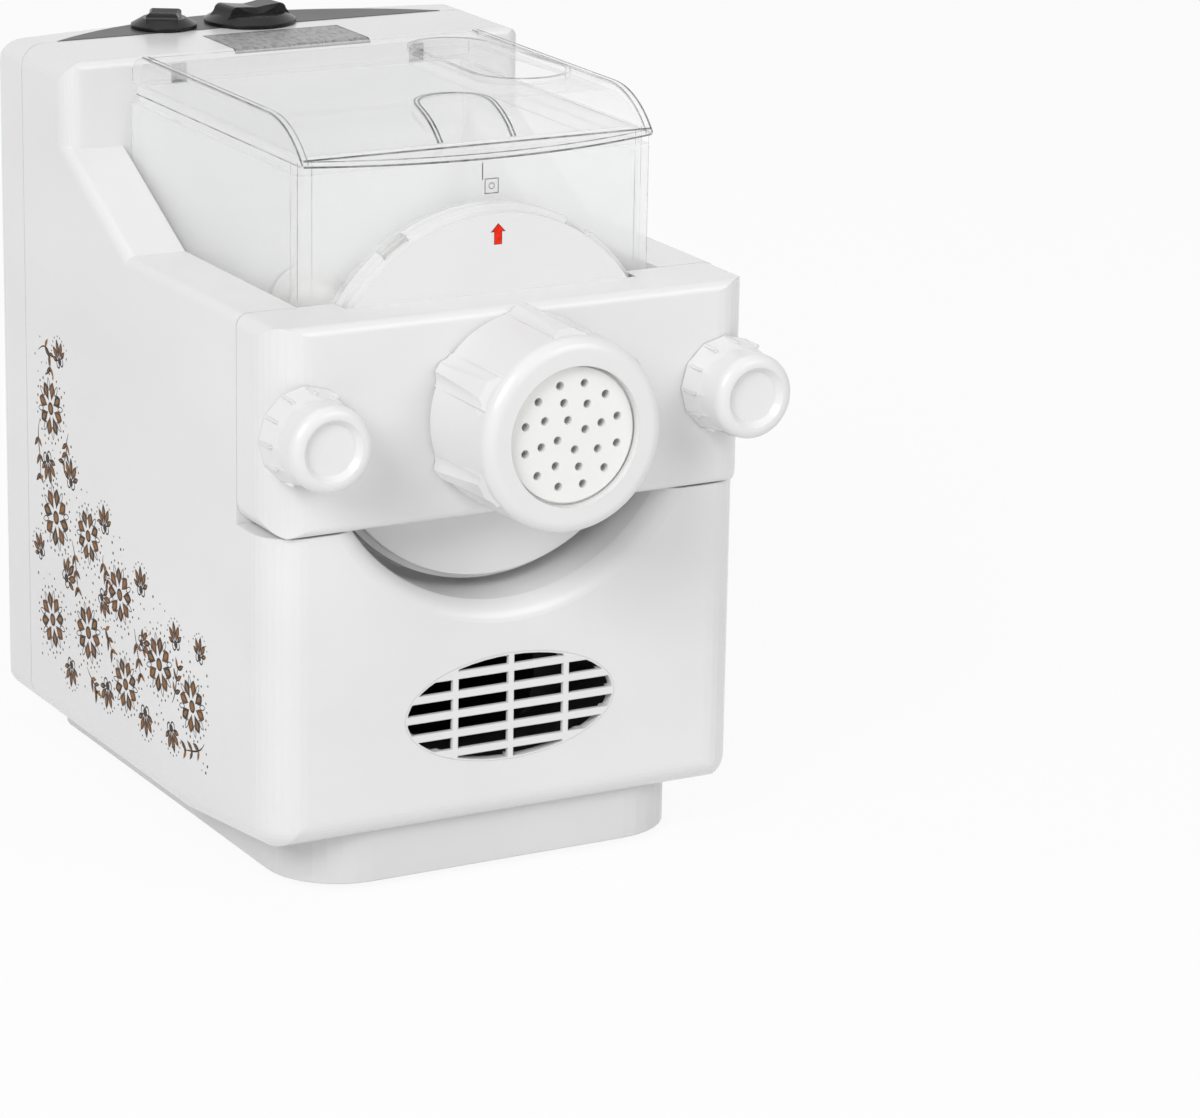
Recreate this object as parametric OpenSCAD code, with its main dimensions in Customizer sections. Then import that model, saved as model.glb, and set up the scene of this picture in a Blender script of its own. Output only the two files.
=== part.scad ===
// Electric pasta maker: hopper with mixing rod, extrusion barrel, clamp bar and geared motor.
// Drawn with y = 0 at the clamp panel's front face; place() then centres it front to back.
// Heights build up from the feet: pedestal, motor, cradle, drive axis, column.

/* [Body] */
// Depth from the clamp panel's front face to the rear face
body_l = 270; // [240:1:300]
// Depth of the column that holds the gears
column_l = 78.5; // [72:0.5:86]
// Depth of the rear cover
cover_l = 35; // [31:0.5:39]
// Height of the column's flat top above the drive axis
column_rise = 105.5; // [95:0.5:116]
// Width of each arm beside the cradle
arm_w = 25; // [23:0.5:28]
// Wall thickness of the housing
wall = 3; // [2.5:0.1:3.4]
// Radius of the body's front vertical corners
front_corner_r = 16; // [12:1:18]
// Radius of the body's lower edges
bottom_r = 10; // [8:0.5:12]
// Bow of the rear face in plan
rear_bow = 12; // [8:1:14]

/* [Pedestal] */
// Distance of the pedestal's sides inside the body's sides
tray_inset = 17; // [14:0.5:20]
// Height of the pedestal's underside, which is the height of the feet
foot_h = 3; // [2:0.5:4]
// Height of the body's lower rim
rim_z = 14.5; // [12.5:0.5:16.5]
// Radius of each foot
foot_r = 9; // [7:0.5:11]

/* [Motor] */
// Radius of the motor can
motor_r = 33; // [29:0.5:37]
// Length of the motor can
motor_l = 76; // [68:1:84]
// Height of the motor can above the pedestal's floor
motor_lift = 29; // [25:0.5:34]
// Space between the motor can and the cradle
motor_gap = 6; // [4:0.5:8]

/* [Hopper] */
// Outer radius of the hopper's round bottom
cup_r = 75; // [69:0.5:81]
// Wall thickness of the hopper
cup_wall = 3; // [2.4:0.1:3.6]
// Length of the collar between the hopper's front wall and the cover
collar_l = 3.3; // [2.4:0.1:4.2]
// Height of the lid's flat top above the column
lid_rise = 2; // [0.5:0.5:4]
// Height of the lid's sides
lid_h = 15; // [13:0.5:17]
// Wall thickness of the lid
lid_wall = 2.4; // [2:0.1:2.7]

/* [Front] */
// Height of the clamp panel
panel_h = 80.5; // [74:0.5:88]
// Depth of the clamp panel
panel_t = 31.4; // [28:0.2:34.6]
// Thickness of the front cover disc
disc_t = 9.5; // [8.5:0.5:11]
// Inner radius of the extrusion barrel
barrel_r = 25; // [22.5:0.5:27.5]
// Wall thickness of the barrel under its thread
barrel_wall = 5; // [4:0.25:6]
// Wall thickness of the die nut
nut_wall = 7.5; // [6.5:0.25:8.5]
// Length of the die nut
nut_len = 45; // [40:0.5:50]
// Distance of the clamp knobs' axes inside the body's sides
knob_inset = 13; // [12:0.25:14]
// Radius of the clamp knobs
knob_r = 18.2; // [16.6:0.1:20]
// Length of the clamp knobs
knob_len = 25; // [22:0.5:28]
// Radius of the clamp studs
stud_r = 4; // [3.5:0.25:4.5]

/* [Controls] */
// Radius of the timer knob's skirt
timer_r = 19; // [17:0.5:21]
// Radius of the selector knob's skirt
selector_r = 13.5; // [12:0.5:15]
// Height of both knobs above the top
control_h = 8; // [7:0.25:9]

/* [Hidden] */
$fn = 64;

// Clearances
part_gap = 0.3;     // between pieces of different bodies
running_gap = 0.05; // radial, shaft in bore
seat_gap = 0.02;    // radial, piece pressed into its seat
big = 500;

// Colours
white = [0.93, 0.93, 0.92];
pale = [0.88, 0.88, 0.88];
black = [0.08, 0.08, 0.08];
slate = [0.35, 0.35, 0.36];
clear = [0.85, 0.9, 0.92, 0.4];
steel = [0.7, 0.7, 0.72];

// Pedestal, lower part
front_y = 3;                          // lower front face, behind the panel's face
tray_floor = foot_h + 3;
foot_sink = 1.5;

// Heights
motor_h = tray_floor + motor_lift + motor_r;      // motor axis
trough_gap = 2.5;
trough_r = cup_r + trough_gap;                    // cradle
axis_h = motor_h + motor_r + motor_gap + wall + trough_r; // drive axis
body_h = axis_h + column_rise;                    // flat top of the column
lid_top = body_h + lid_rise;
lid_low = lid_top - lid_h;
panel_low = axis_h - panel_h / 2;
arm_h = panel_low + panel_h;                      // tops of the arms
shelf_gap = 0.6;
shelf_z = panel_low - shelf_gap;                  // ledge under the panel

// Widths
half_w = trough_r + arm_w;
body_w = 2 * half_w;
tray_half = half_w - tray_inset;
knob_x = half_w - knob_inset;

// Depths
column_y = body_l - column_l;                     // front face of the column
seam_y = body_l - cover_l;                        // seam of the rear cover
arm_front = panel_t + part_gap;                   // front faces of the arms

// Body
slope_run = 59;
slope_start = column_y - slope_run;   // where the arms begin to rise
slope_angle = 27.3;
slope_l = 90;
tilt_start = 86;                      // where the lower rim begins to rise forward
tilt_angle = 6.2;
front_rim_z = rim_z + (tilt_start - front_y) * tan(tilt_angle);
arm_edge_r = 4;
top_edge_r = 9;
column_edge_r = 3.5;
column_corner_r = 8;
rear_corner_r = 14;
rear_top_r = 12;
rear_low_r = 8;
scoop_l = 9;
scoop_lap = 0.1;
rail_r = cup_r + part_gap;
rail_w = 7;
rail_in = 4;
seam_gap = 0.3;
stud_boss_r = stud_r + 4.3;
stud_boss_l = 12;
stud_tail = 20;
stud_nut_r = stud_r + 3.4;
stud_nut_h = 6.5;

// Pedestal
tray_front = 11;
tray_rear_in = 18;
tray_rear = body_l - tray_rear_in;
tray_front_r = 30;
tray_rear_r = 18;
tray_top = front_rim_z + 0.5;
foot_in = 22;
foot_front_in = 26;
foot_rear_in = 24;
foot_x = tray_half - foot_in;
foot_front = tray_front + foot_front_in;
foot_rear = tray_rear - foot_rear_in;
tray_vent_w = 5;
tray_vent_l = 50;
tray_vent_pitch = 12;

// Grille
grille_a = 45.5;
grille_b = 21.5;
grille_rise = 0.5;
grille_z = motor_h + grille_rise;
slot_h = 4.75;
slot_pitch = 7.75;
bar_t = 1.8;
post_w = 2.4;
post_pitch = 24;
grille_flange = 2.5;
flange_t = 1.2;
duct_wall = 1.6;
duct_step_y = 40;

// Hook slots
hook_in = 22;
hook_x = cup_r - hook_in;
slot_w = 6.4;
hook_slot_h = 7.5;
slot_high = body_h - column_edge_r;
slot_low = slot_high - hook_slot_h;
frame_t = 1.1;
hook_back = 1.4;
hook_down = 2.1;
hook_pivot_y = column_y - hook_back;
hook_pivot_z = slot_high - hook_down;
hook_half = 1.1;
hook_r = 1.6;
hook_len = 4.8;
hook_side = 0.6;
hook_w = slot_w - 2 * frame_t - 2 * hook_side;

// Front cover
disc_gap = 0.2;
disc_edge = 1.5;
disc_r = cup_r - disc_edge;
disc_rear = arm_front - disc_gap;
disc_front = disc_rear - disc_t;
disc_step = 5;
barrel_out = barrel_r + barrel_wall;
thread_h = 1;
thread_r = barrel_out + thread_h;
nut_r = thread_r + nut_wall;
nut_bore = thread_r + running_gap;
nut_mouth = barrel_r + 2;
nut_lip = 4.7;
die_t = 6;
die_y = -nut_len + nut_lip + part_gap;
barrel_front = die_y + die_t;
screw_gap = 0.6;
screw_r = barrel_r - screw_gap;
screw_core_r = 12;
drive_end_r = 7;
drive_end_l = 12;

// Hopper
seal_t = 1.8;
collar_front = disc_rear + seal_t;
cup_front = collar_front + collar_l;
cup_rear_gap = 3;
cup_rear = column_y - cup_rear_gap;
cup_top = lid_low + 2.5;
cup_in = cup_r - cup_wall;
mouth_edge = 9;
cup_mouth_r = cup_r - mouth_edge;
plug_r = cup_mouth_r - part_gap;
rim_step = lid_wall + 0.4;
rim_t = 2;
rim_down = 4;
bush_r = 13;
bush_flange = 3;
journal_r = 9;
journal_l = 8;

// Motor, along y under the cradle
can_rear_gap = 1.5;
can_rear = column_y - can_rear_gap;
can_front = can_rear - motor_l;
can_wall = 2;
cap_t = 6;
hub_r = 9;
hub_wall = 2;
motor_shaft_r = 4;
fan_in = 5;
fan_r = motor_r - fan_in;
fan_off = 20;
fan_y = can_front - fan_off;
fan_w = 12;
magnet_t = 6.2;
air_gap = 0.8;
core_r = motor_r - can_wall - magnet_t - air_gap;
commutator_r = 11;
commutator_l = 11;
brush_gap = 0.1;
brush_l = 8.9;
brush_w = 6;

// Gearbox in the column
plate_gap = 6;
plate_y = column_y + plate_gap;
plate_t = 3;
plate_w = 96;
mount_h = 18;
plate_low = tray_floor + mount_h;
gear_gap = 3;
gear1_y = plate_y + plate_t + 2.5;
gear1_w = 6;
gear2_y = gear1_y + gear1_w + gear_gap;
gear2_w = 8;
gear3_y = gear2_y + gear2_w + gear_gap;
gear3_w = 12;
rear_plate_y = gear3_y + gear3_w + 3.5;
module_1 = 1.25;
module_2 = 1.5;
module_3 = 2;
teeth_p1 = 14;
teeth_g1 = 42;
teeth_p2 = 14;
teeth_g2 = 42;
teeth_p3 = 16;
teeth_g3 = 36;
dist_1 = module_1 * (teeth_p1 + teeth_g1) / 2;
dist_2 = module_2 * (teeth_p2 + teeth_g2) / 2;
dist_3 = module_3 * (teeth_p3 + teeth_g3) / 2;
shaft_b_z = axis_h - dist_3;
span = shaft_b_z - motor_h;
along = (dist_1 * dist_1 + span * span - dist_2 * dist_2) / (2 * span);
shaft_a_x = sqrt(dist_1 * dist_1 - along * along);
shaft_a_z = motor_h + along;
plate_edge = 8;
plate_top = axis_h + module_3 * (teeth_g3 / 2 + 1) + plate_edge;
lay_r = 5;
out_r = 9;
drive_w = 10;
drive_gap = 0.15;
drive_l = 13;
drive_tip = cup_rear - drive_l;
seal_r = 14;
seal_front = column_y - 1.5;
small_bearing_r = 11;
big_bearing_r = 17;
angle_1 = atan2(along, shaft_a_x);
angle_2 = atan2(shaft_b_z - shaft_a_z, -shaft_a_x);
post_r = 5;
post_in = 8;
post_low = 10;
screw_m4_r = 2;
screw_head_r = 4;
screw_head_h = 2.4;
post_spots = [
    for (x = [-1, 1], z = [plate_low + post_low, plate_top - post_in]) [x * (plate_w / 2 - post_in), z]
];

// Screws of the rear cover
boss_r = 6;
boss_in = 5;
boss_low = 29.5;
boss_high = 40;
cover_screw_spots = [
    for (x = [-1, 1], z = [rim_z + boss_low, body_h - boss_high]) [x * (half_w - wall - boss_in), z]
];
cover_screw_y = seam_y + 13;
cover_head_r = 3.8;
cover_head_h = 2.6;
cover_head_gap = 0.4;
boss_front_l = 18;
cover_thread_l = 13;

// Vents of the rear cover
vent_w = 44;
vent_h = 4;
vent_pitch = 9;
vent_x = 42;
vent_low = 73.5;

// Controls
lens_front = seam_y + 0.8;
lens_edge = 16;
lens_half = half_w - lens_edge;
lens_rear_in = 5.5;
lens_rear = body_l - lens_rear_in;
lens_sag = lens_rear - lens_front;
lens_r = (lens_half * lens_half + lens_sag * lens_sag) / (2 * lens_sag);
lens_sink = 1.5;
lens_rise = 0.2;
timer_x = 3;
timer_in = 9.5;
timer_y = seam_y + timer_in;
knob_step = 37.7;
selector_x = timer_x - knob_step;
selector_in = 12;
selector_y = seam_y + selector_in;
spindle_r = 3;
spindle_l = 14;
collar_r = 5;
collar_hole_r = 6;
timer_body_w = 38;
timer_body_l = 30;
timer_body_h = 26;
switch_w = 24;
switch_l = 26;
switch_h = 20;

// Circuit board on posts of the right side wall
board_off = 7;
board_x = half_w - wall - board_off;
board_t = 1.6;
board_in = 8;
board_y = column_y + board_in;
board_w = seam_y - board_y - 5.5;
board_h = 80;
board_z = axis_h - board_h + 2.5;
board_post_r = 3;
board_hole_r = 1.6;
board_edge = 4;
board_spots = [
    for (y = [board_edge, board_w - board_edge], z = [board_edge, board_h - board_edge])
        [board_y + y, board_z + z]
];

// Cord outlet
gland_up = 25.5;
gland_z = rim_z + gland_up;
gland_r = 8;
gland_bore = 3.75;
gland_l = 12;

// Shifts the drawing frame to the centred frame.
module place() {
    translate([0, (nut_len - body_l) / 2, 0]) children();
}

// Extrudes an (x, z) outline from y0 to y1.
module along_y(y0, y1) {
    translate([0, y1, 0]) rotate([90, 0, 0]) linear_extrude(y1 - y0) children();
}

// Extrudes a (y, z) outline from x0 to x1.
module along_x(x0, x1) {
    translate([x0, 0, 0]) rotate([90, 0, 90]) linear_extrude(x1 - x0) children();
}

// Cylinder along y from y0 to y1.
module rod_y(r, y0, y1, x = 0, z = 0) {
    translate([x, y1, z]) rotate([90, 0, 0]) cylinder(r = r, h = y1 - y0);
}

// Revolves an (r, y) outline about the y axis at height z.
module revolve_y(x = 0, z = axis_h) {
    translate([x, 0, z]) rotate([-90, 0, 0]) rotate_extrude() children();
}

// Points of an arc.
function arc(cx, cy, r, a0, a1, n = 8) =
    [for (i = [0:n]) [cx + r * cos(a0 + (a1 - a0) * i / n), cy + r * sin(a0 + (a1 - a0) * i / n)]];

// Rectangle with its own radius for the lower and for the upper corners.
module round_rect(x0, y0, x1, y1, low_r, high_r) {
    polygon(concat(
        arc(x1 - low_r, y0 + low_r, low_r, -90, 0),
        arc(x1 - high_r, y1 - high_r, high_r, 0, 90),
        arc(x0 + high_r, y1 - high_r, high_r, 90, 180),
        arc(x0 + low_r, y0 + low_r, low_r, 180, 270)
    ));
}

// U outline about the drive axis, open upward to a height.
module u_shape(r, top) {
    translate([0, axis_h]) circle(r);
    translate([-r, axis_h]) square([2 * r, top - axis_h]);
}

module ellipse(a, b, n = 48) {
    polygon([for (i = [0:n - 1]) [a * cos(360 * i / n), b * sin(360 * i / n)]]);
}

// Part of the body below the arms' tops, inset by t.
module lower_form(t) {
    r = bottom_r - t;
    intersection() {
        along_y(0, body_l - t)
            round_rect(-half_w + t, rim_z + t, half_w - t, arm_h - t, r, max(arm_edge_r - t, 0.5));
        translate([0, tilt_start, rim_z]) rotate([-tilt_angle, 0, 0]) translate([0, 0, t])
            along_y(-big, big)
                round_rect(-half_w + t, 0, half_w - t, big, r, 1);
        linear_extrude(big)
            round_rect(-half_w + t, front_y + t, half_w - t, big, front_corner_r - t, 1);
        along_x(-half_w, half_w)
            polygon(concat(
                arc(front_y + bottom_r, front_rim_z + bottom_r, r, 180, 260),
                [[tilt_start, 0], [big, 0], [big, arm_h], [arm_front + t, arm_h]],
                [[arm_front + t, shelf_z - t], [front_y + t, shelf_z - t]]
            ));
        union() {
            for (side = [-1, 1]) corner_post(side, t);
            translate([front_corner_r - half_w, front_y, 0])
                cube([body_w - 2 * front_corner_r, big, big]);
            translate([-half_w, front_y + front_corner_r, 0]) cube([body_w, big, big]);
        }
    }
}

// Revolved corner of the body, whose lower edge is rounded as the sides' are, inset by t.
module corner_post(side, t) {
    low = rim_z + (tilt_start - front_y - front_corner_r) * tan(tilt_angle);
    r = front_corner_r;
    translate([side * (half_w - r), front_y + r, 0]) rotate_extrude()
        polygon(concat(
            [[0, low + t]],
            arc(r - bottom_r, low + bottom_r, bottom_r - t, -90, 0),
            [[r - t, big], [0, big]]
        ));
}

// Rising part of the arms, inset by t.
module slope_form(t) {
    lap = 20;
    low = 40;
    intersection() {
        translate([0, slope_start, arm_h]) rotate([slope_angle, 0, 0]) translate([0, 0, -t])
            along_y(-lap, slope_l)
                round_rect(-half_w + t, -slope_l, half_w - t, 0, 1, max(arm_edge_r - t, 0.5));
        translate([-half_w, arm_front + t, arm_h - low])
            cube([body_w, column_y - arm_front + column_corner_r, low + 50]);
    }
}

// Column with bowed rear, inset by t.
module column_form(t) {
    bow_r = (half_w * half_w + rear_bow * rear_bow) / (2 * rear_bow);
    intersection() {
        along_y(column_y + t, body_l - t)
            round_rect(-half_w + t, rim_z + t, half_w - t, body_h - t, bottom_r - t, top_edge_r - t);
        linear_extrude(big)
            polygon(concat(
                arc(half_w - column_corner_r, column_y + column_corner_r, column_corner_r - t, -90, 0),
                arc(half_w - rear_corner_r, body_l - rear_corner_r, rear_corner_r - t, 0, 90),
                arc(-half_w + rear_corner_r, body_l - rear_corner_r, rear_corner_r - t, 90, 180),
                arc(-half_w + column_corner_r, column_y + column_corner_r, column_corner_r - t, 180, 270)
            ));
        translate([0, body_l - bow_r, 0]) rotate_extrude($fn = 200)
            polygon(concat(
                [[0, 0]],
                arc(bow_r - rear_low_r, rim_z + rear_low_r, rear_low_r - t, -90, 0),
                arc(bow_r - rear_top_r, body_h - rear_top_r, rear_top_r - t, 0, 90),
                [[0, body_h - t]]
            ));
        along_x(-half_w, half_w)
            polygon(concat(
                [[column_y + t, 0], [big, 0], [big, body_h - t]],
                arc(column_y + column_edge_r, body_h - column_edge_r, max(column_edge_r - t, 0.5), 90, 180)
            ));
    }
}

module body_form(t) {
    lower_form(t);
    slope_form(t);
    column_form(t);
}

// Outline of the pedestal, inset by t.
module tray_plan(t) {
    polygon(concat(
        arc(tray_half - tray_front_r, tray_front + tray_front_r, tray_front_r - t, -90, 0),
        arc(tray_half - tray_rear_r, tray_rear - tray_rear_r, tray_rear_r - t, 0, 90),
        arc(-tray_half + tray_rear_r, tray_rear - tray_rear_r, tray_rear_r - t, 90, 180),
        arc(-tray_half + tray_front_r, tray_front + tray_front_r, tray_front_r - t, 180, 270)
    ));
}

// Space of the cradle, with its wall when t is the wall thickness.
module cradle(t) {
    along_y(-1, column_y + t) u_shape(trough_r + t, big);
    revolve_y() difference() {
        translate([0, -1]) square([trough_r + scoop_l - scoop_lap, front_y + scoop_l + 1]);
        translate([trough_r + scoop_l - scoop_lap, front_y + scoop_l - scoop_lap]) circle(scoop_l - t);
    }
}

module hook_spots() {
    for (x = [-hook_x, hook_x]) translate([x, 0, 0]) children();
}

module housing() {
    color(white) {
        difference() {
            intersection() {
                body_form(0);
                translate([-half_w, 0, 0]) cube([body_w, seam_y - seam_gap / 2, big]);
            }
            difference() {
                body_form(wall);
                cradle(wall);
                for (x = [-knob_x, knob_x])
                    rod_y(stud_boss_r, arm_front, arm_front + stud_boss_l, x, axis_h);
                for (spot = cover_screw_spots)
                    rod_y(boss_r, seam_y - boss_front_l, body_l, spot[0], spot[1]);
            }
            for (spot = cover_screw_spots)
                rod_y(screw_m4_r, seam_y - cover_thread_l - 1, body_l, spot[0], spot[1]);
            cradle(0);
            floor_opening();
            along_y(-1, front_y + wall + 1) translate([0, grille_z]) ellipse(grille_a, grille_b);
            for (x = [-knob_x, knob_x])
                rod_y(stud_r + seat_gap, arm_front - 1, arm_front + stud_boss_l + 1, x, axis_h);
            rod_y(seal_r + seat_gap, column_y - 1, column_y + wall + 1, 0, axis_h);
            hook_spots() translate([-slot_w / 2, column_y - 1, slot_low])
                cube([slot_w, wall + 2, slot_high - slot_low]);
        }
        cradle_rails();
        for (spot = board_spots)
            translate([board_x + board_t, spot[0], spot[1]]) rotate([0, 90, 0])
                cylinder(r = board_post_r, h = half_w - wall / 2 - board_x - board_t);
    }
}

// Opening in the body's floor, through which the pedestal reaches in.
module floor_opening() {
    low = rim_z - 5;
    translate([0, 0, low]) linear_extrude(tray_top + wall + 1 - low) tray_plan(-part_gap);
}

// Three rails in the cradle that carry the hopper.
module cradle_rails() {
    for (a = [-45, 0, 45])
        intersection() {
            difference() {
                rod_y(trough_r + wall / 2, cup_front + rail_in, column_y + 1, 0, axis_h);
                rod_y(rail_r, 0, column_y + 2, 0, axis_h);
            }
            translate([0, 0, axis_h]) rotate([0, a, 0])
                translate([-rail_w / 2, 0, -big]) cube([rail_w, big, big]);
        }
}

module rear_cover() {
    color(white)
        difference() {
            intersection() {
                column_form(0);
                translate([-half_w, seam_y + seam_gap / 2, 0]) cube([body_w, big, big]);
            }
            difference() {
                column_form(wall);
                for (spot = cover_screw_spots)
                    rod_y(boss_r, seam_y, body_l, spot[0], spot[1]);
                rod_y(gland_r + wall, body_l - gland_l, body_l, 0, gland_z);
                translate([0, 0, body_h - wall - lens_sink]) linear_extrude(big) lens_plan(-wall);
            }
            floor_opening();
            translate([0, 0, body_h - lens_sink]) linear_extrude(big) lens_plan(-seat_gap);
            collar_hole(timer_x, timer_y);
            collar_hole(selector_x, selector_y);
            rod_y(gland_r + seat_gap, body_l - gland_l - 1, body_l + 1, 0, gland_z);
            for (spot = cover_screw_spots) {
                rod_y(screw_m4_r, seam_y - 1, body_l + 1, spot[0], spot[1]);
                rod_y(cover_head_r + cover_head_gap, cover_screw_y, body_l + 1, spot[0], spot[1]);
            }
            for (x = [-1, 1], i = [0:6])
                translate([x * vent_x - vent_w / 2, seam_y + cover_l / 3, rim_z + vent_low + i * vent_pitch])
                    cube([vent_w, cover_l, vent_h]);
        }
}

// Hole round a spindle's collar.
module collar_hole(x, y) {
    translate([x, y, body_h - wall - lens_sink - 1]) cylinder(r = collar_hole_r, h = 20);
}

// Lens outline of the control plate, inset by t.
module lens_plan(t) {
    intersection() {
        translate([0, lens_rear - lens_r]) circle(lens_r - t, $fn = 200);
        translate([-big / 2, lens_front + t]) square([big, big]);
    }
}

module control_plate() {
    color(slate)
        difference() {
            translate([0, 0, body_h - lens_sink]) linear_extrude(lens_sink + lens_rise) lens_plan(0);
            collar_hole(timer_x, timer_y);
            collar_hole(selector_x, selector_y);
        }
}

module base_tray() {
    ledge = 2;
    mount_w = 16;
    color(pale) {
        difference() {
            translate([0, 0, foot_h]) linear_extrude(tray_top - foot_h) tray_plan(0);
            translate([0, 0, tray_floor]) linear_extrude(big) tray_plan(wall);
            for (x = [-foot_x, foot_x], y = [foot_front, foot_rear])
                translate([x, y, foot_h - 1]) cylinder(r = foot_r + seat_gap, h = foot_sink + 1);
            for (i = [-3:3])
                translate([i * tray_vent_pitch - tray_vent_w / 2, can_front + cap_t, 0])
                    cube([tray_vent_w, tray_vent_l, tray_floor + 1]);
        }
        for (x = [-1, 1])
            translate([x * (plate_w / 2 - mount_w) - mount_w / 2, plate_y - ledge, tray_floor - 1])
                cube([mount_w, rear_plate_y + plate_t + 2 * ledge - plate_y, mount_h + 1]);
    }
}

module feet() {
    color(black)
        for (x = [-foot_x, foot_x], y = [foot_front, foot_rear])
            translate([x, y, 0]) {
                cylinder(r1 = foot_r - 1, r2 = foot_r, h = 1);
                translate([0, 0, 1]) cylinder(r = foot_r, h = foot_h - 1 + foot_sink);
            }
}

// Slots cut through an elliptical plate between a border and the upright bars.
module grille() {
    a = grille_a - seat_gap;
    b = grille_b - seat_gap;
    color(white)
        difference() {
            union() {
                along_y(front_y, front_y + wall) translate([0, grille_z]) ellipse(a, b);
                along_y(front_y + wall, front_y + wall + flange_t)
                    translate([0, grille_z]) ellipse(a + grille_flange, b + grille_flange);
            }
            along_y(0, front_y + wall + 5)
                intersection() {
                    translate([0, grille_z]) ellipse(a - 0.8, b - 0.8);
                    for (row = [-2.5:2.5], col = [-2:1])
                        translate([col * post_pitch + post_w / 2,
                                   grille_z + row * slot_pitch - slot_h / 2])
                            square([post_pitch - post_w, slot_h]);
                }
            along_y(front_y + bar_t, front_y + wall + 5)
                translate([0, grille_z]) ellipse(a - 2, b - 2);
        }
}

module air_duct() {
    y0 = front_y + wall + flange_t;
    step_y = duct_step_y;
    a = grille_a + duct_wall;
    b = grille_b + duct_wall;
    r = fan_r + 2;
    end_gap = 1;
    color(black) {
        difference() {
            along_y(y0, step_y) translate([0, grille_z]) ellipse(a, b);
            along_y(y0 - 1, step_y + 1) translate([0, grille_z]) ellipse(a - duct_wall, b - duct_wall);
        }
        difference() {
            along_y(step_y, step_y + duct_wall) translate([0, grille_z])
                union() {
                    ellipse(a, b);
                    translate([0, motor_h - grille_z]) circle(r + duct_wall);
                }
            rod_y(r, step_y - 1, step_y + 5, 0, motor_h);
        }
        difference() {
            rod_y(r + duct_wall, step_y + duct_wall, can_front - cap_t - end_gap, 0, motor_h);
            rod_y(r, step_y, can_front, 0, motor_h);
        }
    }
}

module slot_frames() {
    color(slate)
        hook_spots()
            difference() {
                translate([-slot_w / 2 + seat_gap, column_y - 0.4, slot_low + seat_gap])
                    cube([slot_w - 2 * seat_gap, wall + 0.4, slot_high - slot_low - 2 * seat_gap]);
                translate([-slot_w / 2 + frame_t, column_y - 1, slot_low + 0.4])
                    cube([slot_w - 2 * frame_t, wall + 2, slot_high - slot_low - 0.8]);
            }
}

module interlock_switches() {
    color(black)
        hook_spots()
            translate([0, column_y + wall, slot_low - 5]) {
                translate([-5.2, 1.7, 0]) cube([10.4, 10, 12]);
                translate([-1.5, 0.8, 8.5]) cube([3, 1, 3]);
                for (x = [-5.2, 3.6]) translate([x, 0, 0]) cube([1.6, 1.8, 12]);
            }
}

module studs() {
    color(steel)
        for (x = [-knob_x, knob_x]) {
            rod_y(stud_r, -knob_len + 9, arm_front + stud_tail, x, axis_h);
        }
}

module stud_nuts() {
    color(steel)
        for (x = [-knob_x, knob_x])
            difference() {
                translate([x, arm_front + stud_boss_l + stud_nut_h, axis_h]) rotate([90, 0, 0])
                    cylinder(r = stud_nut_r, h = stud_nut_h, $fn = 6);
                rod_y(stud_r, 0, big, x, axis_h);
            }
}

module motor_can() {
    color(steel) {
        difference() {
            rod_y(motor_r, can_front, can_rear, 0, motor_h);
            rod_y(motor_r - can_wall, can_front - 1, can_rear - can_wall, 0, motor_h);
            rod_y(hub_r - hub_wall, can_front, can_rear + 20, 0, motor_h);
        }
        difference() {
            rod_y(hub_r, can_rear, plate_y, 0, motor_h);
            rod_y(hub_r - hub_wall, can_rear - 1, plate_y + 1, 0, motor_h);
        }
    }
}

module motor_cap() {
    lip = 2;
    hole_r = 5;
    ring = (motor_r + hub_r) / 2;
    color(black)
        difference() {
            union() {
                rod_y(motor_r, can_front - cap_t, can_front, 0, motor_h);
                rod_y(motor_r - can_wall - seat_gap, can_front, can_front + lip, 0, motor_h);
            }
            rod_y(hub_r - hub_wall, 0, can_rear, 0, motor_h);
            for (a = [45:90:315])
                rod_y(hole_r, 0, can_rear, ring * cos(a), motor_h + ring * sin(a));
        }
}

module magnets() {
    color(slate)
        for (side = [0, 180])
            translate([0, 0, motor_h]) rotate([0, side, 0])
                intersection() {
                    difference() {
                        rod_y(motor_r - can_wall, can_front + 14, can_rear - 8);
                        rod_y(core_r + air_gap, can_front, can_rear);
                    }
                    translate([0, 0, -motor_r / 2]) cube([big, big, motor_r]);
                }
}

module brushes() {
    color(slate)
        for (side = [-1, 1])
            translate([side * (commutator_r + brush_gap + brush_l / 2) - brush_l / 2,
                       can_front + 2, motor_h - brush_w / 2])
                cube([brush_l, brush_w, brush_w]);
}

// Outline shared by the two gearbox plates.
module plate_outline() {
    round_rect(-plate_w / 2, plate_low, plate_w / 2, plate_top, 4, 12);
}

module plate_holes(motor_hole) {
    translate([0, motor_h]) circle(motor_hole);
    translate([shaft_a_x, shaft_a_z]) circle(small_bearing_r);
    translate([0, shaft_b_z]) circle(small_bearing_r);
    translate([0, axis_h]) circle(big_bearing_r);
    for (spot = post_spots) translate(spot) circle(screw_m4_r);
}

module gear_plate_front() {
    color(steel)
        along_y(plate_y, plate_y + plate_t) difference() {
            plate_outline();
            plate_holes(hub_r - hub_wall);
        }
}

module gear_plate_rear() {
    color(steel)
        along_y(rear_plate_y, rear_plate_y + plate_t) difference() {
            plate_outline();
            plate_holes(small_bearing_r);
        }
}

module gear_posts() {
    color(steel)
        for (spot = post_spots)
            difference() {
                rod_y(post_r, plate_y + plate_t, rear_plate_y, spot[0], spot[1]);
                rod_y(screw_m4_r, plate_y, rear_plate_y + 1, spot[0], spot[1]);
            }
}

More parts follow.
